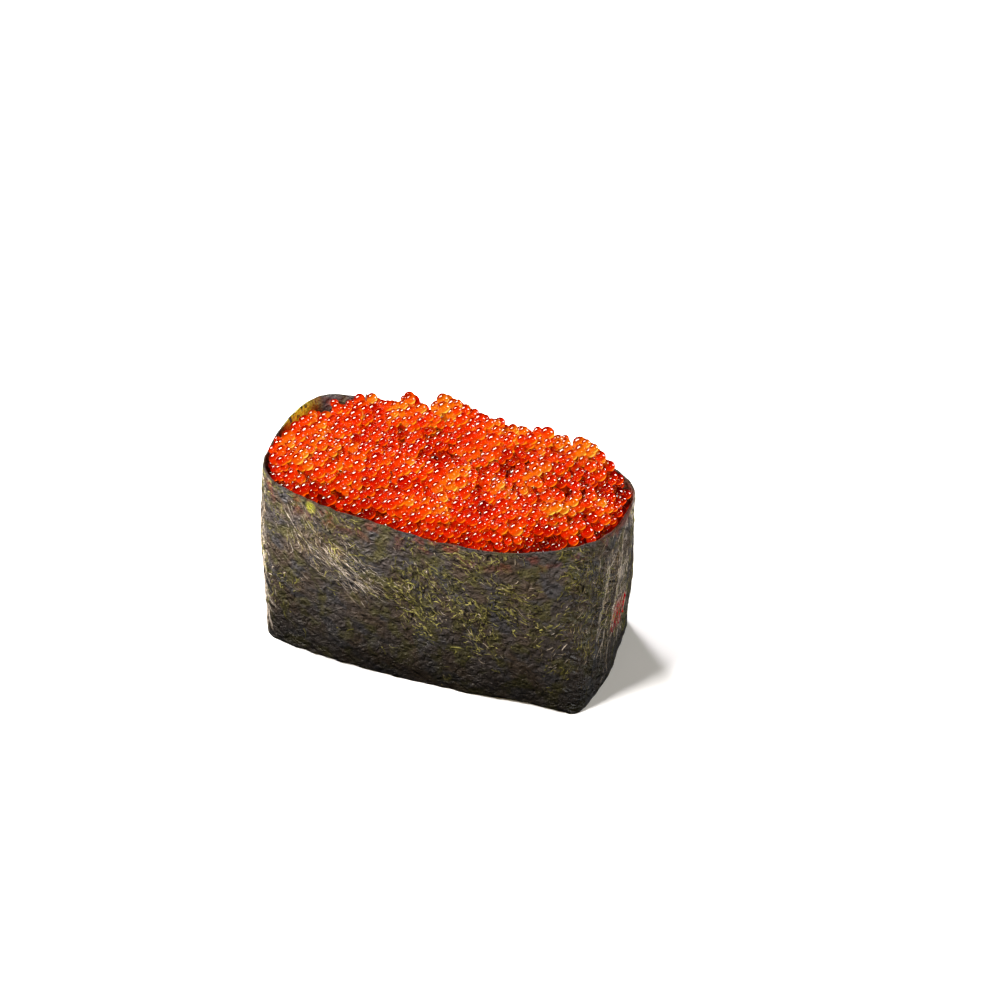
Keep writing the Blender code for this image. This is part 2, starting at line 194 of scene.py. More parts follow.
class Bench:
    """A material under construction, with short calls for the nodes that the finishes use."""

    def __init__(self, name: str) -> None:
        """Start a material with an empty Principled shader."""
        self.material = bpy.data.materials.new(name)
        self.material.use_nodes = True
        self.tree = self.material.node_tree
        self.shader = self.tree.nodes["Principled BSDF"]

    def node(self, kind: str, **settings: object) -> bpy.types.Node:
        """Return a new node of a kind, with its settings."""
        made = self.tree.nodes.new(kind)
        for name, value in settings.items():
            setattr(made, name, value)
        return made

    def feed(self, target: Socket, source: Socket | float | tuple) -> None:
        """Link a socket to another, or set its value."""
        if isinstance(source, bpy.types.NodeSocket):
            self.tree.links.new(source, target)
        else:
            target.default_value = source

    def dress(self, **sockets: Socket | float | tuple) -> bpy.types.Material:
        """Feed the shader's sockets, named with underscores for spaces, and return the material."""
        for name, source in sockets.items():
            self.feed(self.shader.inputs[name.replace("_", " ")], source)
        return self.material

    def read(self, attribute: str) -> Socket:
        """Return the number stored on the mesh under a name."""
        return self.node("ShaderNodeAttribute", attribute_name=attribute).outputs["Fac"]

    def where(self) -> Socket:
        """Return the place on the object, in metres."""
        return self.node("ShaderNodeTexCoord").outputs["Object"]

    def compute(self, operation: str, *values: Socket | float) -> Socket:
        """Return the result of a Math node."""
        made = self.node("ShaderNodeMath", operation=operation)
        for target, value in zip(made.inputs, values):
            self.feed(target, value)
        return made.outputs["Value"]

    def chain(self, operation: str, *values: Socket | float) -> Socket:
        """Return the sum or the product of several numbers."""
        result = values[0]
        for value in values[1:]:
            result = self.compute(operation, result, value)
        return result

    def vector(self, operation: str, *values: Socket | tuple) -> bpy.types.NodeOutputs:
        """Return the results of a Vector Math node."""
        made = self.node("ShaderNodeVectorMath", operation=operation)
        for target, value in zip(made.inputs, values):
            self.feed(target, value)
        return made.outputs

    def dim(self, colour: Socket, share: Socket | float) -> Socket:
        """Return a colour scaled by a share."""
        made = self.node("ShaderNodeVectorMath", operation="SCALE")
        self.feed(made.inputs[0], colour)
        self.feed(made.inputs["Scale"], share)
        return made.outputs["Vector"]

    def part(self, vector: Socket, axis: str) -> Socket:
        """Return one coordinate of a place."""
        made = self.node("ShaderNodeSeparateXYZ")
        self.feed(made.inputs[0], vector)
        return made.outputs[axis]

    def span(self, value: Socket, low: float, high: float, start: float = 0.0, end: float = 1.0) -> Socket:
        """Return a value stretched smoothly from one range to another, and held at its ends.

        Args:
            value: The number to stretch.
            low: The value that gives start.
            high: The value that gives end.
            start: The result at low.
            end: The result at high.

        Returns:
            The stretched number.
        """
        made = self.node("ShaderNodeMapRange", interpolation_type="SMOOTHSTEP")
        for name, number in zip(("From Min", "From Max", "To Min", "To Max"), (low, high, start, end)):
            made.inputs[name].default_value = number
        self.feed(made.inputs["Value"], value)
        return made.outputs["Result"]

    def mapping(self, vector: Socket, **settings: tuple[float, float, float]) -> Socket:
        """Return a coordinate moved by a Mapping node."""
        made = self.node("ShaderNodeMapping")
        self.feed(made.inputs["Vector"], vector)
        for name, value in settings.items():
            made.inputs[name].default_value = value
        return made.outputs["Vector"]

    def noise(self, vector: Socket, cloud: Cloud) -> Socket:
        """Return cloudy noise round a half, read at a place that is turned and then stretched.

        Args:
            vector: Where it is read.
            cloud: The pattern.

        Returns:
            The noise.
        """
        if cloud.turn or cloud.stretch != (1.0, 1.0):
            turned = self.mapping(vector, Rotation=(0.0, 0.0, cloud.turn))
            vector = self.mapping(turned, Scale=(*cloud.stretch, 1.0))
        made = self.node("ShaderNodeTexNoise")
        self.feed(made.inputs["Vector"], vector)
        for name, number in (("Scale", cloud.scale), ("Detail", cloud.detail), ("Distortion", cloud.twist)):
            made.inputs[name].default_value = number
        return made.outputs["Fac"]

    def cover(self, vector: Socket, cloud: Cloud, start: float = 0.0, end: float = 1.0) -> Socket:
        """Return cloudy noise stretched over the pattern's own span."""
        return self.span(self.noise(vector, cloud), cloud.low, cloud.high, start, end)

    def threads(self, vector: Socket, cloud: Cloud, width: float) -> Socket:
        """Return thin curling lines: the places where noise is less than a width off its middle."""
        off_line = self.compute("ABSOLUTE", self.compute("SUBTRACT", self.noise(vector, cloud), 0.5))
        return self.span(off_line, 0.0, width, 1.0, 0.0)

    def blend(self, share: Socket | float, first: Socket | Colour, second: Socket | Colour) -> Socket:
        """Return a mix of two colours.

        Args:
            share: How much of the second is in it.
            first: The first colour.
            second: The second colour.

        Returns:
            The mixed colour.
        """
        made = self.node("ShaderNodeMix", data_type="RGBA")
        self.feed(made.inputs["Factor"], share)
        colours = [socket for socket in made.inputs if socket.type == "RGBA"]
        for target, colour in zip(colours, (first, second)):
            self.feed(target, colour if isinstance(colour, bpy.types.NodeSocket) else rgba(colour))
        return next(socket for socket in made.outputs if socket.type == "RGBA")

    def bump(self, height: Socket, strength: float, depth: float) -> Socket:
        """Return a normal bent by a height, for a depth in metres."""
        made = self.node("ShaderNodeBump")
        made.inputs["Strength"].default_value = strength
        made.inputs["Distance"].default_value = depth
        self.feed(made.inputs["Height"], height)
        return made.outputs["Normal"]


class Face(Enum):
    """The strip's two faces, by the number stored on its points."""

    OUTER = 0.0
    INNER = 1.0


@dataclass(frozen=True)
class StainOrPaintedLight:
    """A ragged spot on one face of the strip, either a real mark or a patch of painted light: its middle and
    half size in millimetres, and its colour.
    """

    along: float
    up: float
    half_length: float
    half_height: float
    colour: Colour
    face: Face = Face.OUTER


@dataclass(frozen=True)
class NoriFinish:
    """Toasted seaweed: charcoal clouded with umber, slate and moss, crinkled all over, with a satin gloss;
    its crests carry a painted satin sheen, its small creases painted shade, and by height it takes painted
    shade towards its foot and painted light towards its rim.
    """

    charcoal: Colour = (0.060, 0.050, 0.047)
    umber: Colour = (0.070, 0.051, 0.038)
    slate: Colour = (0.056, 0.052, 0.055)
    moss: Colour = (0.068, 0.061, 0.028)
    blush: Colour = (0.20, 0.035, 0.018)
    # Near-black painted shade in small creases.
    painted_pit_shade: Colour = (0.006, 0.006, 0.006)
    # Pale colour of the painted satin sheen on crests, partly the paler stretched fibre.
    painted_silk_sheen: Colour = (0.29, 0.25, 0.23)
    umber_cloud: Cloud = Cloud(0.17, 3.0, low=0.42, high=0.60)
    slate_cloud: Cloud = Cloud(0.21, 2.0, 0.0, (1.0, 1.3), 0.6, 0.50, 0.62)
    moss_cloud: Cloud = Cloud(0.36, 4.0, 0.0, (1.0, 1.0), 1.9, 0.48, 0.64)
    pit_shade_cloud: Cloud = Cloud(1.5, 3.0, 0.6, (0.50, 1.7), 0.35, 0.58, 0.67)
    blush_cloud: Cloud = Cloud(0.35, 3.0, low=0.50, high=0.64)
    spot_cloud: Cloud = Cloud(1.3, 3.0, 0.5, (1.0, 0.30), 0.15, 0.36, 0.50)
    gloss_cloud: Cloud = Cloud(0.5, 2.0, low=0.35, high=0.65)
    vein_cloud: Cloud = Cloud(0.8, 1.0, 1.4, (0.8, 1.2), 0.9)
    vein_width: float = 0.06
    vein_height: float = 0.06
    crinkles: tuple[tuple[Cloud, float], ...] = (
        (Cloud(1.0, 4.0, 0.5, (0.40, 1.3), 0.60), 0.55),
        (Cloud(1.2, 3.0, 0.8, (0.55, 1.2), -0.45), 0.40),
        (Cloud(0.62, 5.0, 1.2), 0.75),
        (Cloud(3.4, 2.0), 0.10),
    )
    crests: tuple[float, float] = (1.02, 1.22)
    pit_shade_share: float = 0.85
    blush_share: float = 0.45
    blush_band: tuple[float, float] = (4.5, 0.5)
    gloss: tuple[float, float] = (0.34, 0.55)
    stains_and_painted_lights: tuple[StainOrPaintedLight, ...] = (
        # A red juice blot low on the right end; a painted highlight at the right end's rim; painted yellow
        # light on the inner face at the back left; a small yellow spot near the rim at the front left.
        StainOrPaintedLight(140.5, 9.6, 3.4, 3.4, (0.50, 0.030, 0.035)),
        StainOrPaintedLight(144.6, 26.7, 1.9, 1.6, (0.66, 0.60, 0.55)),
        StainOrPaintedLight(64.3, 26.2, 5.6, 3.6, (0.80, 0.66, 0.02), Face.INNER),
        StainOrPaintedLight(89.2, 26.4, 1.0, 1.1, (0.34, 0.33, 0.03)),
    )
    rim: float = 27.5
    edge: float = 0.35
    edge_shade: float = 0.35
    foot_shade: float = 0.20
    shade_height: float = 15.0
    # Painted light: the colour brightens from glow_from of the rim height up to the rim.
    rim_glow: float = 1.60
    glow_from: float = 0.4
    bump_depth: float = 0.00150

    def ground(self, bench: Bench, at: Socket) -> Socket:
        """Return the ground colour: broad patches of charcoal, umber, slate and moss."""
        colour = bench.blend(bench.cover(at, self.umber_cloud), self.charcoal, self.umber)
        colour = bench.blend(bench.cover(at, self.slate_cloud), colour, self.slate)
        return bench.blend(bench.cover(at, self.moss_cloud), colour, self.moss)

    def spot(self, bench: Bench, at: Socket, mark: StainOrPaintedLight) -> Socket:
        """Return a ragged spot that is 1 in the middle of a mark."""
        away = (-mark.along / mark.half_length, -mark.up / mark.half_height, 0.0)
        size = (1.0 / mark.half_length, 1.0 / mark.half_height, 1.0)
        off = bench.vector("LENGTH", bench.mapping(at, Location=away, Scale=size))["Value"]
        on_face = bench.compute("COMPARE", bench.read("face"), mark.face.value, 0.5)
        ragged = bench.cover(at, self.spot_cloud)
        return bench.chain("MULTIPLY", bench.span(off, 0.2, 1.1, 1.0, 0.0), ragged, on_face)

    def relief(self, bench: Bench, at: Socket) -> Socket:
        """Return the height of the fine crinkles: slanting streaks, crumples, grain and veins."""
        heights = [
            bench.compute("MULTIPLY", bench.noise(at, cloud), height) for cloud, height in self.crinkles
        ]
        veins = bench.threads(at, self.vein_cloud, self.vein_width)
        return bench.chain("ADD", *heights, bench.compute("MULTIPLY", veins, self.vein_height))

    def shade(self, bench: Bench, up: Socket) -> Socket:
        """Return the painted shade and light by height: the strip darkens to its foot, brightens to its rim
        and is dark on its edge.
        """
        return bench.chain(
            "MULTIPLY",
            bench.span(up, 0.0, self.shade_height, self.foot_shade, 1.0),
            bench.span(up, self.glow_from * self.rim, self.rim, 1.0, self.rim_glow),
            bench.span(up, self.rim - self.edge, self.rim, 1.0, self.edge_shade),
        )

    def make(self) -> bpy.types.Material:
        """Return the finished material."""
        bench = Bench("nori")
        at = bench.node("ShaderNodeUVMap", uv_map="strip").outputs["UV"]
        up, relief = bench.part(at, "Y"), self.relief(bench, at)
        # Painted sheen: the pale satin colour is laid on the crests of the relief where the naps lie, partly
        # paler stretched fibre and partly painted highlight.
        crests = bench.compute("MULTIPLY", bench.span(relief, *self.crests), bench.read("painted_silk_sheen"))
        colour = bench.blend(crests, self.ground(bench, at), self.painted_silk_sheen)
        # Painted shade: near-black streaks from a noise cloud stand for the shadows in small creases.
        pit_shades = bench.compute("MULTIPLY", bench.cover(at, self.pit_shade_cloud), self.pit_shade_share)
        colour = bench.blend(pit_shades, colour, self.painted_pit_shade)
        near_rim = bench.span(up, self.rim - self.blush_band[0], self.rim - self.blush_band[1])
        blush = bench.chain("MULTIPLY", near_rim, bench.cover(at, self.blush_cloud), self.blush_share)
        colour = bench.blend(blush, colour, self.blush)
        # Real marks, the painted highlight and the painted light are laid on the same way.
        for mark in self.stains_and_painted_lights:
            colour = bench.blend(self.spot(bench, at, mark), colour, mark.colour)
        return bench.dress(
            # The colour is dimmed and brightened by the painted shade and light by height.
            Base_Color=bench.dim(colour, self.shade(bench, up)),
            Roughness=bench.cover(at, self.gloss_cloud, *self.gloss),
            Normal=bench.bump(relief, 1.0, self.bump_depth),
            Specular_IOR_Level=0.40,
        )


@dataclass(frozen=True)
class FibreFinish:
    """Fibres of the weed: from near-black lines of painted shade, through olive and straw, to silvery where
    the sheet is stretched, which is partly paler fibre and partly painted sheen.
    """

    # Near-black colour of the fibres that are painted shade lines.
    dark: Colour = (0.008, 0.008, 0.008)
    # Tones by paleness; the palest, silvery tone is partly paler stretched fibre and partly painted sheen and
    # glints.
    tones: tuple[tuple[float, float, Colour], ...] = (
        (0.0, 0.25, (0.115, 0.108, 0.030)),
        (0.25, 0.55, (0.41, 0.375, 0.115)),
        (0.58, 0.70, (0.34, 0.25, 0.140)),
        (0.70, 1.0, (0.73, 0.63, 0.54)),
    )
    worn: Cloud = Cloud(2500.0, 2.0)
    foot_shade: float = 0.26
    silver_from: float = 0.88
    silver_shade: float = 0.85
    shade_height: float = 0.014

    def make(self) -> bpy.types.Material:
        """Return the finished material, which reads how pale each fibre is."""
        bench = Bench("nori_fibre")
        pale, where = bench.read("pale"), bench.where()
        colour = self.dark
        for low, high, tone in self.tones:
            colour = bench.blend(bench.span(pale, low, high), colour, tone)
        worn = bench.noise(where, self.worn)
        # Painted shade darkens the fibres towards the foot; the palest, silvery fibres escape most of it, so
        # they stay bright as painted light low down.
        shade = bench.span(bench.part(where, "Z"), 0.0, self.shade_height, self.foot_shade, 1.0)
        silvery = bench.span(pale, self.silver_from, 1.0, 0.0, self.silver_shade)
        worn_share = bench.span(worn, 0.35, 0.65, 0.5, 1.15)
        shade = bench.compute("MULTIPLY", bench.compute("MAXIMUM", shade, silvery), worn_share)
        return bench.dress(
            Base_Color=bench.dim(colour, shade),
            Roughness=bench.span(worn, 0.3, 0.7, 0.30, 0.50),
            Specular_IOR_Level=0.5,
        )


class Tone(Enum):
    """The tones that the eggs come in, from the deepest to the brightest, each a piece of its own; an egg's
    tone comes partly from painted light and shade.
    """

    DEEP = "deep"
    RED = "red"
    ORANGE = "orange"
    TANGERINE = "tangerine"
    AMBER = "amber"


@dataclass(frozen=True)
class Hue:
    """The colours of one egg: its body, the painted lighter skin round it, and the painted light gathered on
    its far side.
    """

    body: Colour
    skin: Colour
    glow: Colour


@dataclass(frozen=True)
class EggFinish:
    """Wet, translucent fish eggs between two hues, with light and shade painted by which way each point faces
    the key lamp: painted shade where the light goes in, a painted lighter skin, and a painted glow on the far
    side that is partly emission.
    """

    tone: Tone
    deeper: Hue
    riper: Hue
    towards_light: tuple[float, float, float] = TO_KEY
    # Painted shade: the egg colour is multiplied by this where a point faces the key lamp.
    painted_heart_shade: Colour = (0.24, 0.01, 0.0)
    painted_heart_shade_band: tuple[float, float, float, float] = (0.15, 0.85, 0.0, 0.95)
    # Painted light: where the lighter skin colour lies, by how far a point faces away from the key lamp.
    painted_skin_light_band: tuple[float, float, float, float] = (0.05, -0.30, 0.0, 0.70)
    # Painted light: where the glow gathered on the far side from the key lamp lies.
    glow_band: tuple[float, float] = (-0.34, -0.74)
    # Painted shade that darkens and reddens the deeper eggs.
    painted_depth_shade: Colour = (0.34, 0.05, 0.04)
    painted_depth_shade_band: tuple[float, float] = (0.06, 0.70)
    matt_share: float = 0.44
    # Emission of the painted glow, everywhere and extra on the far side, though the eggs are no lamp.
    glow_strength: float = 0.47
    gathered_strength: float = 1.00
    seen_through: float = 0.45
    wet: Cloud = Cloud(900.0, 1.0, low=0.50, high=0.66)
    faintest: float = 0.70
    sheen: float = 0.10
    sheen_colour: Colour = (1.0, 0.24, 0.02)

    def make(self) -> bpy.types.Material:
        """Return the finished material."""
        bench = Bench(f"roe_{self.tone.value}")
        normal = bench.node("ShaderNodeNewGeometry").outputs["Normal"]
        # How far each point faces the key lamp; the painted light and shade below follow it.
        lit = bench.vector("DOT_PRODUCT", normal, Vector(self.towards_light).normalized())["Value"]
        tint, depth = bench.read("tint"), bench.read("depth")
        body = bench.blend(tint, self.deeper.body, self.riper.body)
        # Skin and glow are colours of painted light.
        skin = bench.blend(tint, self.deeper.skin, self.riper.skin)
        glow = bench.blend(tint, self.deeper.glow, self.riper.glow)
        # Painted shade where the light goes in, then the painted lighter skin and the painted glow on the far
        # side.
        painted_heart_shade = bench.vector("MULTIPLY", body, self.painted_heart_shade)["Vector"]
        colour = bench.blend(bench.span(lit, *self.painted_heart_shade_band), body, painted_heart_shade)
        colour = bench.blend(bench.span(lit, *self.painted_skin_light_band), colour, skin)
        gathered = bench.span(lit, *self.glow_band)
        colour = bench.blend(gathered, colour, glow)
        # Painted shade: deeper eggs are darkened and reddened by their depth.
        sunk = bench.blend(bench.span(depth, *self.painted_depth_shade_band), WHITE, self.painted_depth_shade)
        seen = bench.vector("MULTIPLY", colour, sunk)["Vector"]
        brightest = self.glow_strength + self.gathered_strength
        # The painted colour is also emitted, so the eggs glow by themselves, most on their far side.
        return bench.dress(
            Base_Color=bench.dim(seen, self.matt_share),
            Emission_Color=seen,
            Emission_Strength=bench.span(gathered, 0.0, 1.0, self.glow_strength, brightest),
            Roughness=0.08,
            IOR=1.34,
            Transmission_Weight=self.seen_through,
            Coat_Weight=bench.cover(bench.where(), self.wet, 1.0, self.faintest),
            Coat_IOR=1.72,
            Coat_Roughness=0.03,
            Sheen_Weight=self.sheen,
            Sheen_Roughness=0.25,
            Sheen_Tint=rgba(self.sheen_colour),
        )


@dataclass(frozen=True)
class RiceFinish:
    """Cooked rice: cream white, moist and slightly see-through, clearer in cloudy patches."""

    white: Colour = (0.83, 0.80, 0.70)
    clear: Colour = (0.70, 0.66, 0.54)
    cloud: Cloud = Cloud(420.0, 3.0)
    grain: Cloud = Cloud(1900.0, 2.0)

    def make(self) -> bpy.types.Material:
        """Return the finished material."""
        bench = Bench("rice")
        where = bench.where()
        cloud = bench.noise(where, self.cloud)
        return bench.dress(
            Base_Color=bench.blend(bench.span(cloud, 0.40, 0.65), self.white, self.clear),
            Normal=bench.bump(bench.noise(where, self.grain), 0.4, 0.00008),
            Roughness=bench.span(cloud, 0.3, 0.7, 0.28, 0.42),
            Subsurface_Weight=0.35,
            Subsurface_Radius=(1.0, 0.8, 0.5),
            Subsurface_Scale=0.0012,
        )


@dataclass(frozen=True)
class JuiceFinish:
    """Juice of the roe that has run down the strip: glossy and crimson."""

    crimson: Colour = (0.75, 0.012, 0.035)
    deep: Colour = (0.35, 0.004, 0.010)
    cloud: Cloud = Cloud(1500.0, 2.0)

    def make(self) -> bpy.types.Material:
        """Return the finished material."""
        bench = Bench("roe_juice")
        cloud = bench.noise(bench.where(), self.cloud)
        return bench.dress(
            Base_Color=bench.blend(bench.span(cloud, 0.40, 0.65), self.crimson, self.deep),
            Roughness=bench.span(cloud, 0.3, 0.7, 0.10, 0.25),
        )


@dataclass(frozen=True)
class Oblong:
    """A rounded oblong in plan, with a squareness for each corner, 2 being an ellipse.

    The corners go back right, back left, front left, front right. bow swings both ends to the back, and
    skew swings the right end alone.
    """

    half_length: float
    half_width: float
    corners: tuple[float, float, float, float]
    bow: float
    skew: float
    shift: tuple[float, float] = (0.0, 0.0)
    fineness: int = 20

    def points(self, count: int) -> np.ndarray:
        """Return evenly spaced plan points, from +X round to the back.

        Args:
            count: How many points.

        Returns:
            One row of x and y for each point.
        """
        angles = np.linspace(0.0, FULL_TURN, self.fineness * count + 1)
        across, along = np.cos(angles), np.sin(angles)
        quadrant = np.minimum((angles / (math.pi / 2.0)).astype(int), 3)
        power = np.array(self.corners)[quadrant]
        length, width = self.half_length, self.half_width
        reach = (np.abs(across / length) ** power + np.abs(along / width) ** power) ** (-1.0 / power)
        x, y = reach * across, reach * along
        y = y + self.bow * (x / length) ** 2 + self.skew * x / length
        travelled = np.concatenate([[0.0], np.cumsum(np.hypot(np.diff(x), np.diff(y)))])
        wanted = np.linspace(0.0, travelled[-1], count, endpoint=False)
        plan = np.stack([np.interp(wanted, travelled, x), np.interp(wanted, travelled, y)], axis=1)
        return plan + self.shift


@dataclass(frozen=True)
class Wave:
    """A soft wave pressed into the wrap: waves round it, waves up it, depth and phase."""

    around: int
    up: float
    depth: float
    phase: float


@dataclass(frozen=True)
class Bulge:
    """A round bulge or dent of the wrap, placed by shares of a turn and of the height."""

    turn: float
    level: float
    turn_radius: float
    level_radius: float
    depth: float


@dataclass
class WrapForm:
    """The wrap's outer face, addressed by a share of a turn from +X and a share of its height."""

    rim: Oblong = Oblong(0.02705, 0.01318, (2.9, 3.6, 5.0, 2.8), 0.0034, -0.0004)
    foot: Oblong = Oblong(0.0255, 0.01255, (6.3, 2.8, 6.6, 13.9), -0.0002, 0.0010, (0.0002, 0.00005))
    height: float = 0.0275
    solid_columns: int = 72
    solid_rows: int = 6
    waves: tuple[Wave, ...] = (
        Wave(2, 0.35, 0.00006, 0.4),
        Wave(3, -0.60, 0.00007, 2.1),
        Wave(5, 0.80, 0.00010, 4.0),
        Wave(11, -1.30, 0.00007, 1.3),
    )
    bulges: tuple[Bulge, ...] = (
        Bulge(0.53, 0.00, 0.060, 0.20, -0.00038),
        Bulge(0.53, 0.50, 0.060, 0.25, 0.00076),
        Bulge(0.98, 0.00, 0.035, 0.30, 0.00075),
        Bulge(0.03, 0.50, 0.050, 0.30, 0.00048),
        Bulge(0.80, 0.00, 0.060, 0.30, 0.00094),
        Bulge(0.68, 0.00, 0.060, 0.30, 0.00087),
    )
    shift: np.ndarray = field(default_factory=lambda: np.zeros(2))

    def depth(self, turns: np.ndarray, level: float) -> np.ndarray:
        """Return how far the waves and bulges stand out at one level."""
        out = np.zeros(len(turns))
        for wave in self.waves:
            out += wave.depth * np.sin(FULL_TURN * (wave.around * turns + wave.up * level) + wave.phase)
        for bulge in self.bulges:
            around = (turns - bulge.turn + 0.5) % 1.0 - 0.5
            rise = (level - bulge.level) / bulge.level_radius
            out += bulge.depth * np.exp(-((around / bulge.turn_radius) ** 2) - rise**2)
        return out

    def ring(self, level: float, count: int, inset: float = 0.0) -> tuple[np.ndarray, np.ndarray]:
        """Return the plan points of the face at one level, and which way each faces.

        Args:
            level: The share of the height.
            count: How many points.
            inset: How far inside the face.

        Returns:
            The points, and the outward directions, one row each.
        """
        share = min(max(level, 0.0), 1.0)
        low = self.foot.points(count)
        points = low + (self.rim.points(count) - low) * share
        along = np.roll(points, -1, axis=0) - np.roll(points, 1, axis=0)
        along /= np.linalg.norm(along, axis=1)[:, None]
        outward = np.stack([along[:, 1], -along[:, 0]], axis=1)
        depth = self.depth(np.arange(count) / count, share) - inset
        return points + outward * depth[:, None] + self.shift, outward

    def settle(self, node: str) -> None:
        """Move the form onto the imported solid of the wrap, whose right end and front have no lap."""
        low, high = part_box(node)
        levels = [row / self.solid_rows for row in range(self.solid_rows + 1)]
        solid = np.concatenate([self.ring(level, self.solid_columns)[0] for level in levels])
        self.shift = np.array([high[0] - solid[:, 0].max(), low[1] - solid[:, 1].min()])
        LOG.info("wrap settled by %.3f, %.3f mm", *(self.shift / MILLI))


@dataclass(frozen=True)
class Fold:
    """A ridge or a crease in the strip, from one turn and millimetres up to another."""

    start: tuple[float, float]
    end: tuple[float, float]
    half_width: float
    height: float

    def rise(self, along: np.ndarray, up: np.ndarray, length: float) -> np.ndarray:
        """Return how far the fold lifts each place of the strip, in millimetres.

        Args:
            along: Millimetres along the strip.
            up: Millimetres up it.
            length: Millimetres to a turn.

        Returns:
            One height for each place.
        """
        first = np.array((self.start[0] * length, self.start[1]))
        way = np.array((self.end[0] * length, self.end[1])) - first
        share = np.clip(((along - first[0]) * way[0] + (up - first[1]) * way[1]) / (way @ way), 0.0, 1.0)
        off = np.hypot(along - first[0] - share * way[0], up - first[1] - share * way[1])
        fade = np.sin(math.pi * np.clip(share, 0.03, 0.97)) ** 0.5
        return self.height * fade * np.exp(-((off / self.half_width) ** 2))


@dataclass(frozen=True)
class Nap:
    """A patch of the strip where fibres lie one way: how many, how long and how pale they are; the pale
    fibres and the patch's cover carry painted satin sheen, partly the paler stretched fibre.
    """

    turn: float
    up: float
    half_turns: float
    half_height: float
    heading: float
    spread: float
    count: int
    lengths: tuple[float, float]
    pale: float

    def cover(self, along: np.ndarray, up: np.ndarray, length: float) -> np.ndarray:
        """Return how strongly the patch covers each place of the strip, from 0 to 1."""
        out_along = (along - self.turn * length) / (self.half_turns * length)
        out_up = (up - self.up) / self.half_height
        return np.exp(-(out_along**2) - out_up**2)


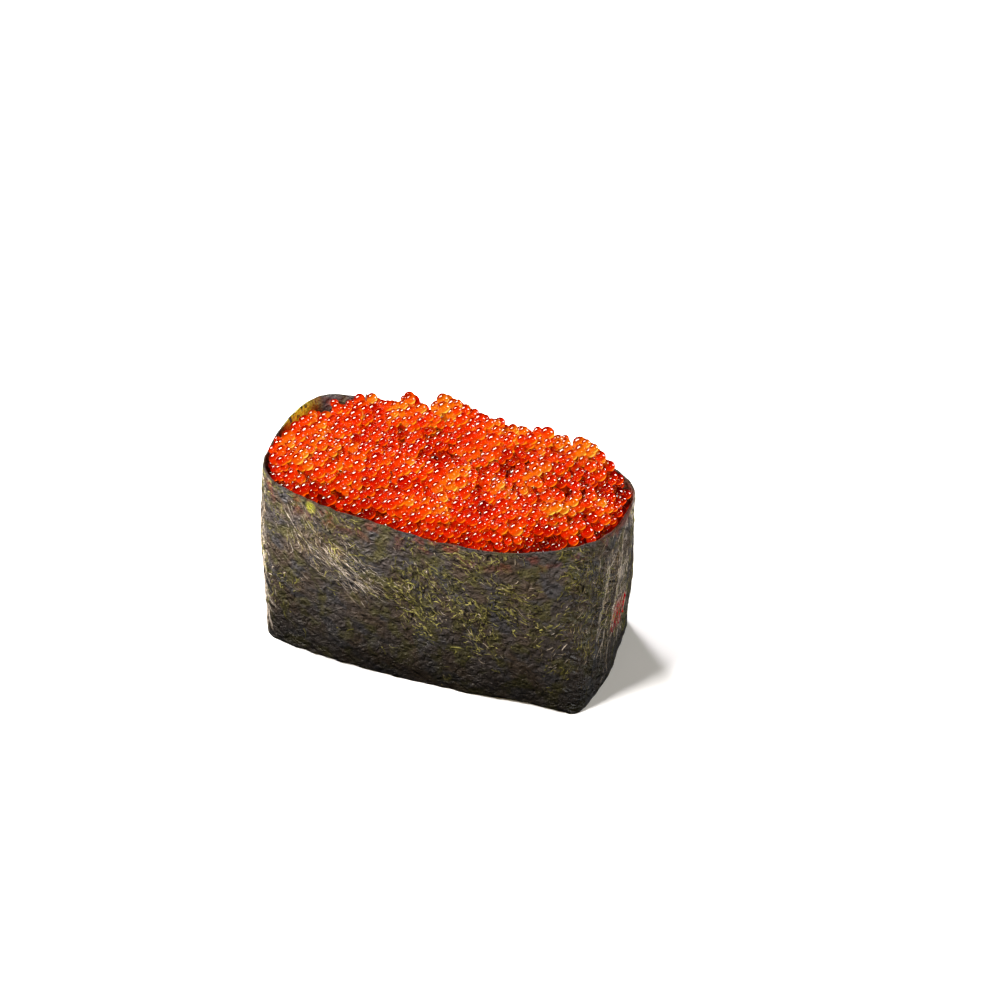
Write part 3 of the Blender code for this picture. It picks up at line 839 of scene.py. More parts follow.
@dataclass
class NoriStrip:
    """The nori strip, wound a little over one turn, its end lapped at the back and lifting slightly."""

    form: WrapForm
    finish: NoriFinish = field(default_factory=NoriFinish)
    seam_turn: float = 0.30
    lap_turns: float = 5.0 / 72.0
    rise_turns: float = 3.0 / 72.0
    columns: int = 430
    rows: int = 84
    thickness: float = 0.00026
    lap_gap: float = 0.0001
    end_lift: float = 0.00025
    end_turns: float = 0.012
    length: float = 141.0
    rim_wave: float = 0.00012
    foot_wave: float = 0.00025
    edge_waves: float = 5.0
    edge_twist: float = 4.0
    ragged: float = 0.00016
    ragged_cells: float = 90.0
    lowest: float = 0.00002
    dips: tuple[tuple[float, float, float], ...] = (
        (0.525, 0.018, 0.95),
        (0.425, 0.006, 0.20),
        (0.060, 0.010, -0.25),
    )
    crinkle: float = 0.085
    creases: int = 170
    crease_depths: tuple[float, float] = (0.05, 0.18)
    crease_lengths: tuple[float, float] = (1.2, 5.0)
    crease_widths: tuple[float, float] = (0.35, 0.65)
    slant: tuple[float, float] = (0.9, 0.45)
    seed: int = 23
    folds: tuple[Fold, ...] = (
        Fold((0.597, 23.4), (0.713, 15.6), 0.9, 0.50),
        Fold((0.583, 21.0), (0.660, 14.0), 0.7, 0.40),
        Fold((0.620, 25.4), (0.733, 19.5), 0.8, 0.24),
        Fold((0.667, 19.2), (0.787, 13.6), 0.9, 0.22),
        Fold((0.540, 26.0), (0.536, 3.0), 0.7, 0.22),
        Fold((0.560, 24.0), (0.577, 6.0), 0.8, -0.20),
        Fold((0.717, 12.6), (0.750, 11.8), 0.4, -0.28),
        Fold((0.640, 4.5), (0.813, 2.6), 1.3, 0.22),
        Fold((0.873, 19.5), (0.930, 9.5), 0.8, 0.22),
        Fold((0.847, 9.5), (0.913, 6.0), 1.0, -0.24),
        Fold((0.965, 25.0), (0.940, 5.0), 0.6, 0.40),
        Fold((0.988, 24.5), (0.970, 4.5), 0.6, 0.36),
        Fold((1.013, 25.0), (1.003, 6.0), 0.6, 0.22),
        Fold((0.977, 22.0), (0.953, 6.0), 0.5, -0.34),
        Fold((1.100, 22.0), (1.147, 6.0), 0.9, 0.24),
        Fold((1.213, 24.0), (1.173, 10.0), 0.8, -0.22),
        Fold((0.347, 22.0), (0.400, 8.0), 0.9, 0.26),
        Fold((0.440, 24.0), (0.467, 5.0), 0.8, 0.24),
    )
    # Naps of pale fibres; their cover also places the painted satin sheen on the crests.
    painted_sheen_naps: tuple[Nap, ...] = (
        Nap(0.618, 21.5, 0.018, 4.2, -1.05, 0.24, 170, (0.6, 2.6), 0.80),
        Nap(0.655, 18.8, 0.026, 2.8, -0.72, 0.26, 260, (0.6, 2.8), 0.92),
        Nap(0.692, 16.0, 0.024, 2.0, -0.50, 0.30, 130, (0.6, 2.4), 0.86),
        Nap(0.555, 15.5, 0.0070, 12.0, -1.50, 0.24, 260, (0.8, 3.6), 0.94),
        Nap(0.560, 4.6, 0.008, 4.2, -1.20, 0.34, 120, (0.8, 2.8), 0.96),
        Nap(0.972, 18.0, 0.016, 8.0, -1.74, 0.12, 200, (1.2, 5.5), 0.96),
        Nap(0.998, 15.0, 0.018, 10.0, -1.68, 0.12, 200, (1.2, 5.5), 0.96),
        Nap(1.018, 26.2, 0.010, 1.3, -1.45, 0.25, 70, (0.6, 1.8), 1.00),
        Nap(0.935, 12.0, 0.020, 6.0, -1.90, 0.35, 60, (0.6, 2.2), 0.74),
        Nap(0.890, 10.5, 0.016, 3.0, 0.85, 0.35, 40, (0.6, 1.5), 0.80),
        Nap(1.140, 14.0, 0.030, 8.0, -1.20, 0.35, 110, (1.0, 4.0), 0.82),
        Nap(0.390, 16.0, 0.030, 7.0, -0.90, 0.35, 110, (1.0, 4.0), 0.82),
    )
    skin: np.ndarray = field(default_factory=lambda: np.zeros((0, 0, 3)))

    def relief(self, along: np.ndarray, up: np.ndarray) -> np.ndarray:
        """Return the height of every fold, crease and crinkle, in millimetres.

        Args:
            along: Millimetres along the strip.
            up: Millimetres up it.

        Returns:
            One height for each place.
        """
        height = np.zeros(along.shape)
        for fold in self.folds:
            height += fold.rise(along, up, self.length)
        random = np.random.default_rng(self.seed)
        for _ in range(self.creases):
            turn = random.uniform(self.seam_turn, self.seam_turn + 1.0 + self.lap_turns)
            start_up = random.uniform(0.5, self.form.height / MILLI - 0.5)
            heading, reach = random.normal(-0.45, 0.5), random.uniform(*self.crease_lengths)
            end = (turn + reach * math.cos(heading) / self.length, start_up + reach * math.sin(heading))
            depth = random.uniform(*self.crease_depths) * random.choice((-1.0, 1.0))
            crease = Fold((turn, start_up), end, random.uniform(*self.crease_widths), depth)
            height += crease.rise(along, up, self.length)
        cosine, sine = self.slant
        slant_along, slant_up = along * cosine + up * sine, up * cosine - along * sine
        height += self.crinkle * Ripples(3).ridges(slant_along * 0.28, slant_up * 0.70)
        height += self.crinkle * 0.8 * Ripples(4).ridges(along * 0.55, up * 0.85)
        height += self.crinkle * 0.6 * Ripples(6).at(slant_along * 0.9, slant_up * 1.6)
        return height

    def shape(self) -> tuple[np.ndarray, np.ndarray, np.ndarray, np.ndarray]:
        """Return the strip's outer and inner faces, and the millimetres along and up it, row by row."""
        steps = round(self.columns * (1.0 + self.lap_turns))
        turns = self.seam_turn + np.arange(steps + 1) / self.columns
        rise = np.clip((turns - self.seam_turn - 1.0 + self.rise_turns) / self.rise_turns, 0.0, 1.0)
        last_stretch = np.clip((turns - turns[-1] + self.end_turns) / self.end_turns, 0.0, 1.0)
        ring_numbers = np.round(turns * self.columns).astype(int) % self.columns
        levels = np.linspace(0.0, 1.0, self.rows + 1)
        along, up = np.meshgrid(turns * self.length, levels * self.form.height / MILLI)
        relief = self.relief(along, up) * MILLI
        torn = self.ragged * Ripples(9).at(turns * self.ragged_cells, np.full(len(turns), 3.0))
        outer, inner = [], []
        for row, level in enumerate(levels):
            points, outward = self.form.ring(level, self.columns)
            lift = rise * (self.thickness + self.lap_gap) + last_stretch * self.end_lift + relief[row]
            edge = self.foot_wave + (self.rim_wave - self.foot_wave) * level
            wave = np.sin(FULL_TURN * self.edge_waves * turns + self.edge_twist * level)
            heights = self.form.height * level + edge * (1.0 + wave) + (2.0 * level - 1.0) * torn
            for turn, half_turns, drop in self.dips:
                heights = heights - drop * MILLI * level**6 * np.exp(-(((turns - turn) / half_turns) ** 2))
            heights = np.maximum(heights, self.lowest)
            for store, depth in ((outer, lift), (inner, lift - self.thickness)):
                plan = points[ring_numbers] + outward[ring_numbers] * depth[:, None]
                store.append(np.column_stack([plan, heights]))
        return np.array(outer), np.array(inner), along, up

    def build(self) -> bpy.types.Object:
        """Return the strip, standing for its solid."""
        outer, inner, along, up = self.shape()
        self.skin = outer
        out = np.arange(along.size).reshape(along.shape)
        back = out + out.size
        faces = [
            quads(out[:-1, :-1], out[:-1, 1:], out[1:, 1:], out[1:, :-1]),
            quads(back[:-1, :-1], back[1:, :-1], back[1:, 1:], back[:-1, 1:]),
            quads(out[0, :-1], back[0, :-1], back[0, 1:], out[0, 1:]),
            quads(out[-1, :-1], out[-1, 1:], back[-1, 1:], back[-1, :-1]),
            quads(out[:-1, 0], out[1:, 0], back[1:, 0], back[:-1, 0]),
            quads(out[:-1, -1], back[:-1, -1], back[1:, -1], out[1:, -1]),
        ]
        sheet = np.concatenate([outer.reshape(-1, 3), inner.reshape(-1, 3)])
        mesh = smooth_mesh("nori_strip", sheet, np.concatenate(faces))
        strip = np.tile(np.stack([along.ravel(), up.ravel()], axis=1), (2, 1))
        corners = np.empty(len(mesh.loops), dtype=np.int32)
        mesh.loops.foreach_get("vertex_index", corners)
        mesh.uv_layers.new(name="strip").data.foreach_set("uv", strip[corners].astype(np.float32).ravel())
        # The naps' cover is stored on the points as the mask of the painted satin sheen.
        painted_silk_sheen = sum(nap.cover(along, up, self.length) for nap in self.painted_sheen_naps)
        note_on_points(mesh, "painted_silk_sheen", np.tile(np.minimum(painted_silk_sheen, 1.0).ravel(), 2))
        note_on_points(mesh, "face", np.repeat((Face.OUTER.value, Face.INNER.value), along.size))
        piece = place("nori_strip", mesh, self.finish.make())
        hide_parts("nori_wrap")
        return piece


@dataclass
class NoriFibres:
    """The weed's own fibres: thin curved ridges that lie on the strip's outer face."""

    strip: NoriStrip
    finish: FibreFinish = field(default_factory=FibreFinish)
    count: int = 7700
    tries: int = 4
    lengths: tuple[float, float] = (0.30, 1.9)
    half_width: float = 0.052
    width_spread: float = 0.38
    widest: float = 0.16
    nap_width: float = 0.56
    crest: float = 0.075
    root: float = -0.02
    curl: float = 1.25
    wobble: float = 0.18
    nap_straightness: float = 0.35
    heading_spread: float = 0.55
    pale: tuple[float, float] = (0.36, 0.23)
    palest: float = 0.62
    # A share of fibres are near-black painted shade lines, fewer higher up, and a share are pale painted
    # glints.
    dark_share: float = 0.32
    glints: float = 0.05
    glint_pale: float = 0.85
    segments: int = 5
    thicket: float = 5.0
    tuft: float = 1.6
    drift: float = 7.0
    thin_foot: float = 13.0
    seed: int = 47

    def scatter(self) -> list[np.ndarray]:
        """Return where fibres start, their headings, lengths, paleness and curls, one array of each."""
        random = np.random.default_rng(self.seed)
        length = self.strip.length
        first = self.strip.seam_turn * length
        span = (1.0 + self.strip.lap_turns) * length
        along = first + random.uniform(0.0, span, self.tries * self.count)
        up = random.uniform(0.4, self.strip.form.height / MILLI - 0.1, self.tries * self.count)
        growth = Ripples(21).over(along, up, self.thicket) + 0.6 * Ripples(22).over(along, up, self.tuft)
        growth = 1.25 * growth + 1.4 * np.minimum(up / self.thin_foot, 1.0)
        growth = growth + random.normal(0.0, 0.38, len(along))
        kept = np.argsort(-growth)[: self.count]
        along, up = along[kept], up[kept]
        heading = 1.9 * Ripples(23).over(along, up, self.drift) - 0.3
        heading = heading + random.normal(0.0, self.heading_spread, self.count)
        shortest, longest = self.lengths
        reach = shortest + (longest - shortest) * random.uniform(0.0, 1.0, self.count) ** 1.8
        pale = np.clip(random.normal(*self.pale, self.count), 0.0, self.palest)
        # Painted shade lines and painted glints among the fibres.
        pale[random.uniform(0.0, 1.0, self.count) < self.dark_share * (1.0 - up / 60.0)] = 0.0
        pale[random.uniform(0.0, 1.0, self.count) < self.glints] = self.glint_pale
        starts, ups, ways, reaches, pales = [along], [up], [heading], [reach], [pale]
        for nap in self.strip.painted_sheen_naps:
            starts.append(nap.turn * length + random.normal(0.0, 0.75, nap.count) * nap.half_turns * length)
            ups.append(nap.up + random.normal(0.0, 0.62, nap.count) * nap.half_height)
            ways.append(random.normal(nap.heading, nap.spread, nap.count))
            reaches.append(random.uniform(*nap.lengths, nap.count))
            # Some nap fibres are near-black painted shade lines.
            dark = random.uniform(0.0, 1.0, nap.count) < self.dark_share
            pales.append(np.where(dark, 0.04, np.clip(random.normal(nap.pale, 0.18, nap.count), 0.0, 1.0)))
        joined = [np.concatenate(part) for part in (starts, ups, ways, reaches, pales)]
        curls = random.normal(0.0, self.curl, len(joined[0]))
        curls[self.count :] *= self.nap_straightness
        return [*joined, curls]

    def on_skin(self, along: np.ndarray, up: np.ndarray, lift: np.ndarray) -> np.ndarray:
        """Return points on the strip's outer face.

        Args:
            along: Millimetres along the strip.
            up: Millimetres up it.
            lift: Metres above the face.

        Returns:
            One row of x, y and z for each place.
        """
        skin = self.strip.skin
        rows, width = skin.shape[:2]
        column = (along / self.strip.length - self.strip.seam_turn) * self.strip.columns
        column = np.clip(column, 0.0, width - 1.001)
        row = np.clip(up * MILLI / self.strip.form.height * (rows - 1), 0.0, rows - 1.001)
        left, low = column.astype(int), row.astype(int)
        right_share, high_share = (column - left)[..., None], (row - low)[..., None]
        bottom = skin[low, left] * (1.0 - right_share) + skin[low, left + 1] * right_share
        top = skin[low + 1, left] * (1.0 - right_share) + skin[low + 1, left + 1] * right_share
        normal = np.cross(skin[low, left + 1] - skin[low, left], skin[low + 1, left] - skin[low, left])
        normal /= np.linalg.norm(normal, axis=-1)[..., None]
        return bottom * (1.0 - high_share) + top * high_share + normal * lift[..., None]

    def build(self) -> bpy.types.Object:
        """Return all fibres as one piece."""
        along, up, heading, reach, pale, curl = self.scatter()
        random = np.random.default_rng(self.seed + 1)
        steps = np.linspace(0.0, 1.0, self.segments + 1)
        way = heading[:, None] + curl[:, None] * reach[:, None] * (steps[None] - 0.5)
        way = way + random.normal(0.0, self.wobble, way.shape)
        stride = (reach / self.segments)[:, None]
        path_along, path_up = (
            start[:, None] + np.pad(np.cumsum(turn(way[:, 1:]) * stride, axis=1), ((0, 0), (1, 0)))
            for start, turn in ((along, np.cos), (up, np.sin))
        )
        widths = self.half_width * np.exp(random.normal(0.0, self.width_spread, len(way)))
        widths = np.minimum(widths, self.widest)
        widths[self.count :] *= self.nap_width
        half = widths[:, None] * np.sin(math.pi * (0.04 + 0.92 * steps))[None] ** 0.6
        rails = []
        for side, lift in ((-1.0, self.root), (0.0, self.crest), (1.0, self.root)):
            rail_along = path_along - side * half * np.sin(way)
            rail_up = path_up + side * half * np.cos(way)
            raised = lift * MILLI * (np.minimum(half / 0.08, 1.4) if lift > 0.0 else np.ones_like(half))
            rails.append(self.on_skin(rail_along, rail_up, raised))
        points = np.stack(rails, axis=2)
        inside = (path_up.min(axis=1) > 0.3) & (path_up.max(axis=1) < self.strip.form.height / MILLI - 0.02)
        all_points = np.arange(points[..., 0].size).reshape(points.shape[:3])[inside]
        foot, tip = all_points[:, :-1], all_points[:, 1:]
        sides = [quads(foot[..., k], tip[..., k], tip[..., k + 1], foot[..., k + 1]) for k in range(2)]
        used, renumbered = np.unique(np.concatenate(sides), return_inverse=True)
        mesh = smooth_mesh("nori_fibres", points.reshape(-1, 3)[used], renumbered.reshape(-1, 4))
        note_on_points(mesh, "pale", np.repeat(pale, points.shape[1] * 3)[used])
        piece = place("nori_fibres", mesh, self.finish.make())
        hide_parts("nori_wrap")
        return piece


@dataclass
class JuiceRuns:
    """Thin runs of juice down the right end of the strip: turn, start, reach and half width."""

    fibres: NoriFibres
    finish: JuiceFinish = field(default_factory=JuiceFinish)
    runs: tuple[tuple[float, float, float, float], ...] = (
        (0.9810, 9.6, 2.2, 0.05),
        (0.9850, 11.6, 2.6, 0.05),
        (0.9885, 10.4, 2.2, 0.06),
        (0.9910, 12.6, 3.4, 0.05),
        (0.9955, 12.2, 3.0, 0.06),
        (0.9985, 9.8, 2.6, 0.07),
        (1.0030, 9.4, 2.4, 0.08),
        (1.0055, 12.0, 2.6, 0.06),
        (1.0125, 12.2, 4.4, 0.17),
        (1.0150, 10.2, 2.0, 0.06),
    )
    crest: float = 0.14
    segments: int = 22
    sides: int = 7
    sway: float = 0.075
    unevenness: float = 0.35
    bead_swell: float = 1.1
    bead_place: float = 0.93
    bead_length: float = 0.05
    seed: int = 61

    def build(self) -> bpy.types.Object:
        """Return the runs as one piece, each swelling to a bead near its end."""
        random = np.random.default_rng(self.seed)
        shares, sides = np.linspace(0.0, 1.0, self.segments + 1), np.linspace(-1.0, 1.0, self.sides)
        points, faces, count = [], [], 0
        for turn, start_up, reach, half in self.runs:
            sway = np.cumsum(random.normal(0.0, self.sway, len(shares)))
            along = turn * self.fibres.strip.length + sway + 0.5 * shares
            uneven = 1.0 + self.unevenness * random.normal(0.0, 1.0, len(shares))
            width = half * (np.sin(math.pi * (0.03 + 0.94 * shares)) ** 0.4) * uneven
            bead = np.exp(-(((shares - self.bead_place) / self.bead_length) ** 2))
            width = np.abs(width) * (1.0 + self.bead_swell * bead)
            grid_along = along[:, None] + sides[None] * width[:, None]
            grid_up = np.repeat((start_up - reach * shares)[:, None], len(sides), axis=1)
            lift = (1.0 - sides[None] ** 2) * np.minimum(width, 0.30)[:, None] * self.crest / 0.12 - 0.02
            points.append(self.fibres.on_skin(grid_along, grid_up, lift * MILLI).reshape(-1, 3))
            numbers = count + np.arange(grid_along.size).reshape(grid_along.shape)
            faces.append(quads(numbers[:-1, :-1], numbers[1:, :-1], numbers[1:, 1:], numbers[:-1, 1:]))
            count += grid_along.size
        mesh = smooth_mesh("roe_juice", np.concatenate(points), np.concatenate(faces))
        return place("roe_juice", mesh, self.finish.make())


@dataclass
class RicePack:
    """The pressed rice: grains at the underside, and a packed block above them."""

    form: WrapForm
    finish: RiceFinish = field(default_factory=RiceFinish)
    clearance: float = 0.0005
    grain: tuple[float, float, float] = (0.0034, 0.00145, 0.0012)
    pitch: tuple[float, float] = (0.0047, 0.0024)
    half_rows: int = 7
    half_columns: int = 8
    bend: float = 0.09
    block_foot: float = 0.0012
    block_share: float = 4.0 / 6.0
    seed: int = 8

    def grains(self) -> tuple[np.ndarray, np.ndarray]:
        """Return the points and faces of all grains."""
        random = np.random.default_rng(self.seed)
        ball_points, ball_faces = ball(3)
        edge = self.form.ring(0.03, 240, self.clearance)[0]
        middle = edge.mean(axis=0)
        points, faces = [], []
        for row in range(-self.half_rows, self.half_rows + 1):
            for column in range(-self.half_columns, self.half_columns + 1):
                shake = random.uniform(-0.22, 0.22, 2)
                x = middle[0] + (column + 0.5 * (row % 2) + shake[0]) * self.pitch[0]
                y = middle[1] + (row + shake[1]) * self.pitch[1]
                size = np.array(self.grain) * random.uniform(0.88, 1.08, 3)
                turn = random.normal(0.0, 0.75)
                body = ball_points * size
                body[:, 1] += self.bend * size[0] * ((body[:, 0] / size[0]) ** 2 - 0.5)
                body[:, 0] *= 1.0 - 0.05 * body[:, 1] / size[1]
                tip, roll = random.normal(0.0, 0.10), random.uniform(0.0, FULL_TURN)
                tipped = Matrix.Rotation(turn, 3, "Z") @ Matrix.Rotation(tip, 3, "Y")
                spin = tipped @ Matrix.Rotation(roll, 3, "X")
                body = body @ np.array(spin).T
                body += (x, y, size[2] * random.uniform(0.70, 1.25))
                if not self.fits(body, edge):
                    continue
                body[:, 2] = np.maximum(body[:, 2], 0.00003 * random.uniform(0.5, 2.0))
                faces.append(ball_faces + len(ball_points) * len(points))
                points.append(body)
        LOG.info("rice: %d grains at the underside", len(points))
        return np.concatenate(points), np.concatenate(faces)

    def fits(self, body: np.ndarray, edge: np.ndarray) -> bool:
        """Return whether a grain lies inside the wrap's foot."""
        middle = edge.mean(axis=0)
        mine = body[:, :2] - middle
        limit = np.interp(np.arctan2(mine[:, 1], mine[:, 0]), *polar(edge, middle), period=FULL_TURN)
        return bool((np.hypot(mine[:, 0], mine[:, 1]) < limit).all())

    def block(self) -> tuple[np.ndarray, np.ndarray]:
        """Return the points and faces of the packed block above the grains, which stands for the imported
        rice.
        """
        count, levels = 144, np.linspace(self.block_foot / self.form.height, self.block_share, 12)
        rings = []
        for level in levels:
            plan = self.form.ring(level, count, self.clearance + 0.0003)[0]
            rings.append(np.column_stack([plan, np.full(count, level * self.form.height)]))
        points = np.concatenate([*rings, [[*rings[0].mean(axis=0)]], [[*rings[-1].mean(axis=0)]]])
        numbers = np.arange(count * len(levels)).reshape(len(levels), count)
        turned = np.roll(numbers, -1, axis=1)
        foot, crown = len(points) - 2, len(points) - 1
        sides = quads(numbers[:-1], turned[:-1], turned[1:], numbers[1:])
        triangles = [
            sides[:, [0, 1, 2]],
            sides[:, [0, 2, 3]],
            np.stack([turned[0], numbers[0], np.full(count, foot)], axis=-1),
            np.stack([numbers[-1], turned[-1], np.full(count, crown)], axis=-1),
        ]
        return points, np.concatenate(triangles)

    def build(self) -> bpy.types.Object:
        """Return the rice, standing for its solid."""
        grain_points, grain_faces = self.grains()
        block_points, block_faces = self.block()
        points = np.concatenate([grain_points, block_points])
        faces = np.concatenate([grain_faces, block_faces + len(grain_points)])
        piece = place("rice_pack", smooth_mesh("rice_pack", points, faces), self.finish.make())
        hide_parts("rice_block")
        return piece


@dataclass(frozen=True)
class Lump:
    """A lump of the heap, or a hollow: its place in plan, radius and height."""

    x: float
    y: float
    radius: float
    height: float


@dataclass
class RoeHeap:
    """The heap of roe: eggs packed under an uneven dome, several layers deep, over a dark bed of painted
    shade in the gaps.
    """

    form: WrapForm
    rise: float = 0.0044
    steepness: float = 6.5
    drop: float = 0.0001
    wall: float = 0.0005
    egg_radii: tuple[float, float] = (0.00058, 0.00096)
    giant_share: float = 0.05
    giant_radius: float = 0.00112
    first_closeness: float = 0.66
    closeness: float = 0.84
    rounds: int = 40
    jostle: float = 0.00050
    give: float = 0.00030
    push_share: float = 0.45
    squash: tuple[float, float] = (0.91, 1.07)
    layers: tuple[tuple[float, int], ...] = (
        (-0.0009, 1100),
        (0.0001, 2900),
        (0.0010, 9000),
        (0.0020, 15000),
        (0.0030, 15000),
    )
    clump: float = 0.0030
    swell: float = 0.00075
    swell_length: float = 0.0036
    pit_depth: float = 0.0016
    pit_spacing: float = 0.0030
    pit_start: float = 0.32
    fine_depth: float = 0.0009
    bed_depth: float = 0.0024
    bed_clearance: float = 0.0007
    free_depth: float = 0.0018
    ceiling: float = 0.03575
    seed: int = 31
    lumps: tuple[Lump, ...] = (
        Lump(-0.0243, 0.0086, 0.0036, -0.0032),
        Lump(-0.0187, 0.0100, 0.0032, -0.0019),
        Lump(-0.0129, 0.0093, 0.0024, -0.0014),
        Lump(-0.0093, 0.0084, 0.0027, 0.0030),
        Lump(-0.0068, 0.0097, 0.0020, -0.0042),
        Lump(-0.0046, 0.0082, 0.0029, 0.0031),
        Lump(-0.0006, 0.0084, 0.0030, 0.0027),
        Lump(0.0075, 0.0080, 0.0030, 0.0024),
        Lump(0.0138, 0.0075, 0.0034, 0.0020),
        Lump(0.0195, 0.0070, 0.0032, 0.0031),
        Lump(0.0000, 0.0000, 0.0080, -0.0010),
        Lump(-0.0185, -0.0005, 0.0040, 0.0006),
        Lump(-0.0110, -0.0020, 0.0024, -0.0007),
        Lump(-0.0060, -0.0050, 0.0026, 0.0009),
        Lump(0.0048, -0.0030, 0.0028, 0.0010),
        Lump(0.0130, 0.0015, 0.0032, 0.0008),
        Lump(0.0095, -0.0070, 0.0026, -0.0011),
        Lump(0.0155, -0.0055, 0.0028, -0.0009),
        Lump(0.0205, -0.0035, 0.0030, 0.0006),
        Lump(-0.0262, -0.0030, 0.0045, 0.0012),
        Lump(0.0262, 0.0010, 0.0045, 0.0018),
    )
    # Hues from the deepest to the brightest; the tone with painted light picks between them.
    hues: tuple[Hue, ...] = (
        Hue((0.13, 0.0004, 0.0), (0.40, 0.004, 0.0), (0.80, 0.030, 0.0)),
        Hue((0.42, 0.003, 0.0), (0.86, 0.018, 0.0), (1.0, 0.075, 0.001)),
        Hue((0.82, 0.013, 0.0), (1.0, 0.060, 0.001), (1.0, 0.16, 0.003)),
        Hue((0.92, 0.030, 0.0002), (1.0, 0.090, 0.0015), (1.0, 0.24, 0.006)),
        Hue((1.0, 0.058, 0.0005), (1.0, 0.15, 0.003), (1.0, 0.36, 0.012)),
        Hue((1.0, 0.21, 0.003), (1.0, 0.40, 0.025), (1.0, 0.68, 0.08)),
    )
    steps: tuple[float, ...] = (0.0, 0.25, 0.48, 0.64, 0.80, 1.0)
    towards_light: tuple[float, float, float] = TO_KEY

    def __post_init__(self) -> None:
        """Measure the well that the roe lies in."""
        self.ring, self.outward = self.form.ring(1.0, 360, self.wall)
        self.middle = self.ring.mean(axis=0)
        self.angles, self.reach = polar(self.ring, self.middle)
        levels = (1.0, 0.9, 0.8, 2.0 / 3.0)
        walls = [polar(self.form.ring(level, 360, self.bed_clearance)[0], self.middle) for level in levels]
        reaches = [np.interp(self.angles, *wall, period=FULL_TURN) for wall in walls]
        self.bed_reach = np.min(reaches, axis=0)

    def outwards(self, x: np.ndarray, y: np.ndarray, reach: np.ndarray) -> tuple[np.ndarray, np.ndarray]:
        """Return how far plan points lie from the middle, and how far a reach goes the same way."""
        spoke_x, spoke_y = x - self.middle[0], y - self.middle[1]
        limit = np.interp(np.arctan2(spoke_y, spoke_x), self.angles, reach, period=FULL_TURN)
        return np.hypot(spoke_x, spoke_y), limit

    def share(self, x: np.ndarray, y: np.ndarray) -> np.ndarray:
        """Return how far towards the wall plan points lie, 1 being at it."""
        out, limit = self.outwards(x, y, self.reach)
        return out / limit

    def top(self, x: np.ndarray, y: np.ndarray) -> np.ndarray:
        """Return the height of the heap's face over plan points."""
        dome = 1.0 - np.minimum(self.share(x, y), 1.0) ** self.steepness
        height = self.form.height - self.drop + self.rise * dome
        local_x, local_y = x - self.form.shift[0], y - self.form.shift[1]
        for lump in self.lumps:
            off = ((local_x - lump.x) ** 2 + (local_y - lump.y) ** 2) / lump.radius**2
            height = height + lump.height * np.exp(-off)
        height = height + self.swell * Ripples(12).over(x, y, self.swell_length, 50.0)
        pitted = Ripples(13).over(x, y, self.pit_spacing, 70.0)
        return height - self.pit_depth * np.clip(pitted - self.pit_start, 0.0, 1.0)

    def facing(self, x: np.ndarray, y: np.ndarray) -> np.ndarray:
        """Return the unit normals of the heap's face over plan points."""
        nudge = 0.0004
        slope_x = (self.top(x + nudge, y) - self.top(x - nudge, y)) / (2.0 * nudge)
        slope_y = (self.top(x, y + nudge) - self.top(x, y - nudge)) / (2.0 * nudge)
        normal = np.stack([-slope_x, -slope_y, np.ones(len(x))], axis=1)
        return normal / np.linalg.norm(normal, axis=1)[:, None]

    def pack(self) -> tuple[np.ndarray, np.ndarray, np.ndarray]:
        """Return the middles, radii and depths of eggs dropped at random where they fit, from the top."""
        random = np.random.default_rng(self.seed)
        cell = 2.0 * self.giant_radius
        closest = self.first_closeness
        homes: dict[tuple[int, int, int], list[int]] = {}
        middles: list[np.ndarray] = []
        radii: list[float] = []
        depths: list[float] = []
        for layer, tries in self.layers:
            angle = random.uniform(-math.pi, math.pi, tries)
            out = np.sqrt(random.uniform(0.0, 1.0, tries)) * 1.02
            limit = np.interp(angle, self.angles, self.reach, period=FULL_TURN)
            x = self.middle[0] + out * limit * np.cos(angle)
            y = self.middle[1] + out * limit * np.sin(angle)
            radius = random.uniform(*self.egg_radii, tries)
            giant = random.uniform(0.0, 1.0, tries) < self.giant_share
            radius[giant] = self.giant_radius * random.uniform(0.92, 1.0, giant.sum())
            sunk = layer + random.uniform(-self.jostle, self.jostle, tries)
            spots = np.column_stack([x, y, self.top(x, y)]) - self.facing(x, y) * (radius + sunk)[:, None]
            wall = np.linalg.norm(spots[:, None, :2] - self.ring[None, ::2], axis=2).min(axis=1)
            inside = self.share(spots[:, 0], spots[:, 1]) < (1.0 if layer > 0.0 else 0.9)
            clumped = Ripples(16).over(x, y, self.clump, 20.0) > (-2.0 if layer > 0.0 else 0.0)
            kept = inside & clumped & (wall > radius * 0.9)
            for spot, size, deep in zip(spots[kept], radius[kept], sunk[kept]):
                home = tuple((spot // cell).astype(int))
                near = [
                    egg
                    for i in range(home[0] - 1, home[0] + 2)
                    for j in range(home[1] - 1, home[1] + 2)
                    for k in range(home[2] - 1, home[2] + 2)
                    for egg in homes.get((i, j, k), ())
                ]
                if any(math.dist(spot, middles[egg]) < closest * (size + radii[egg]) for egg in near):
                    continue
                homes.setdefault(home, []).append(len(middles))
                middles.append(spot)
                radii.append(size)
                depths.append(deep)
            LOG.info("roe: %d eggs down to %.1f mm", len(middles), layer / MILLI)
        return self.settle(np.array(middles), np.array(radii), np.array(depths))

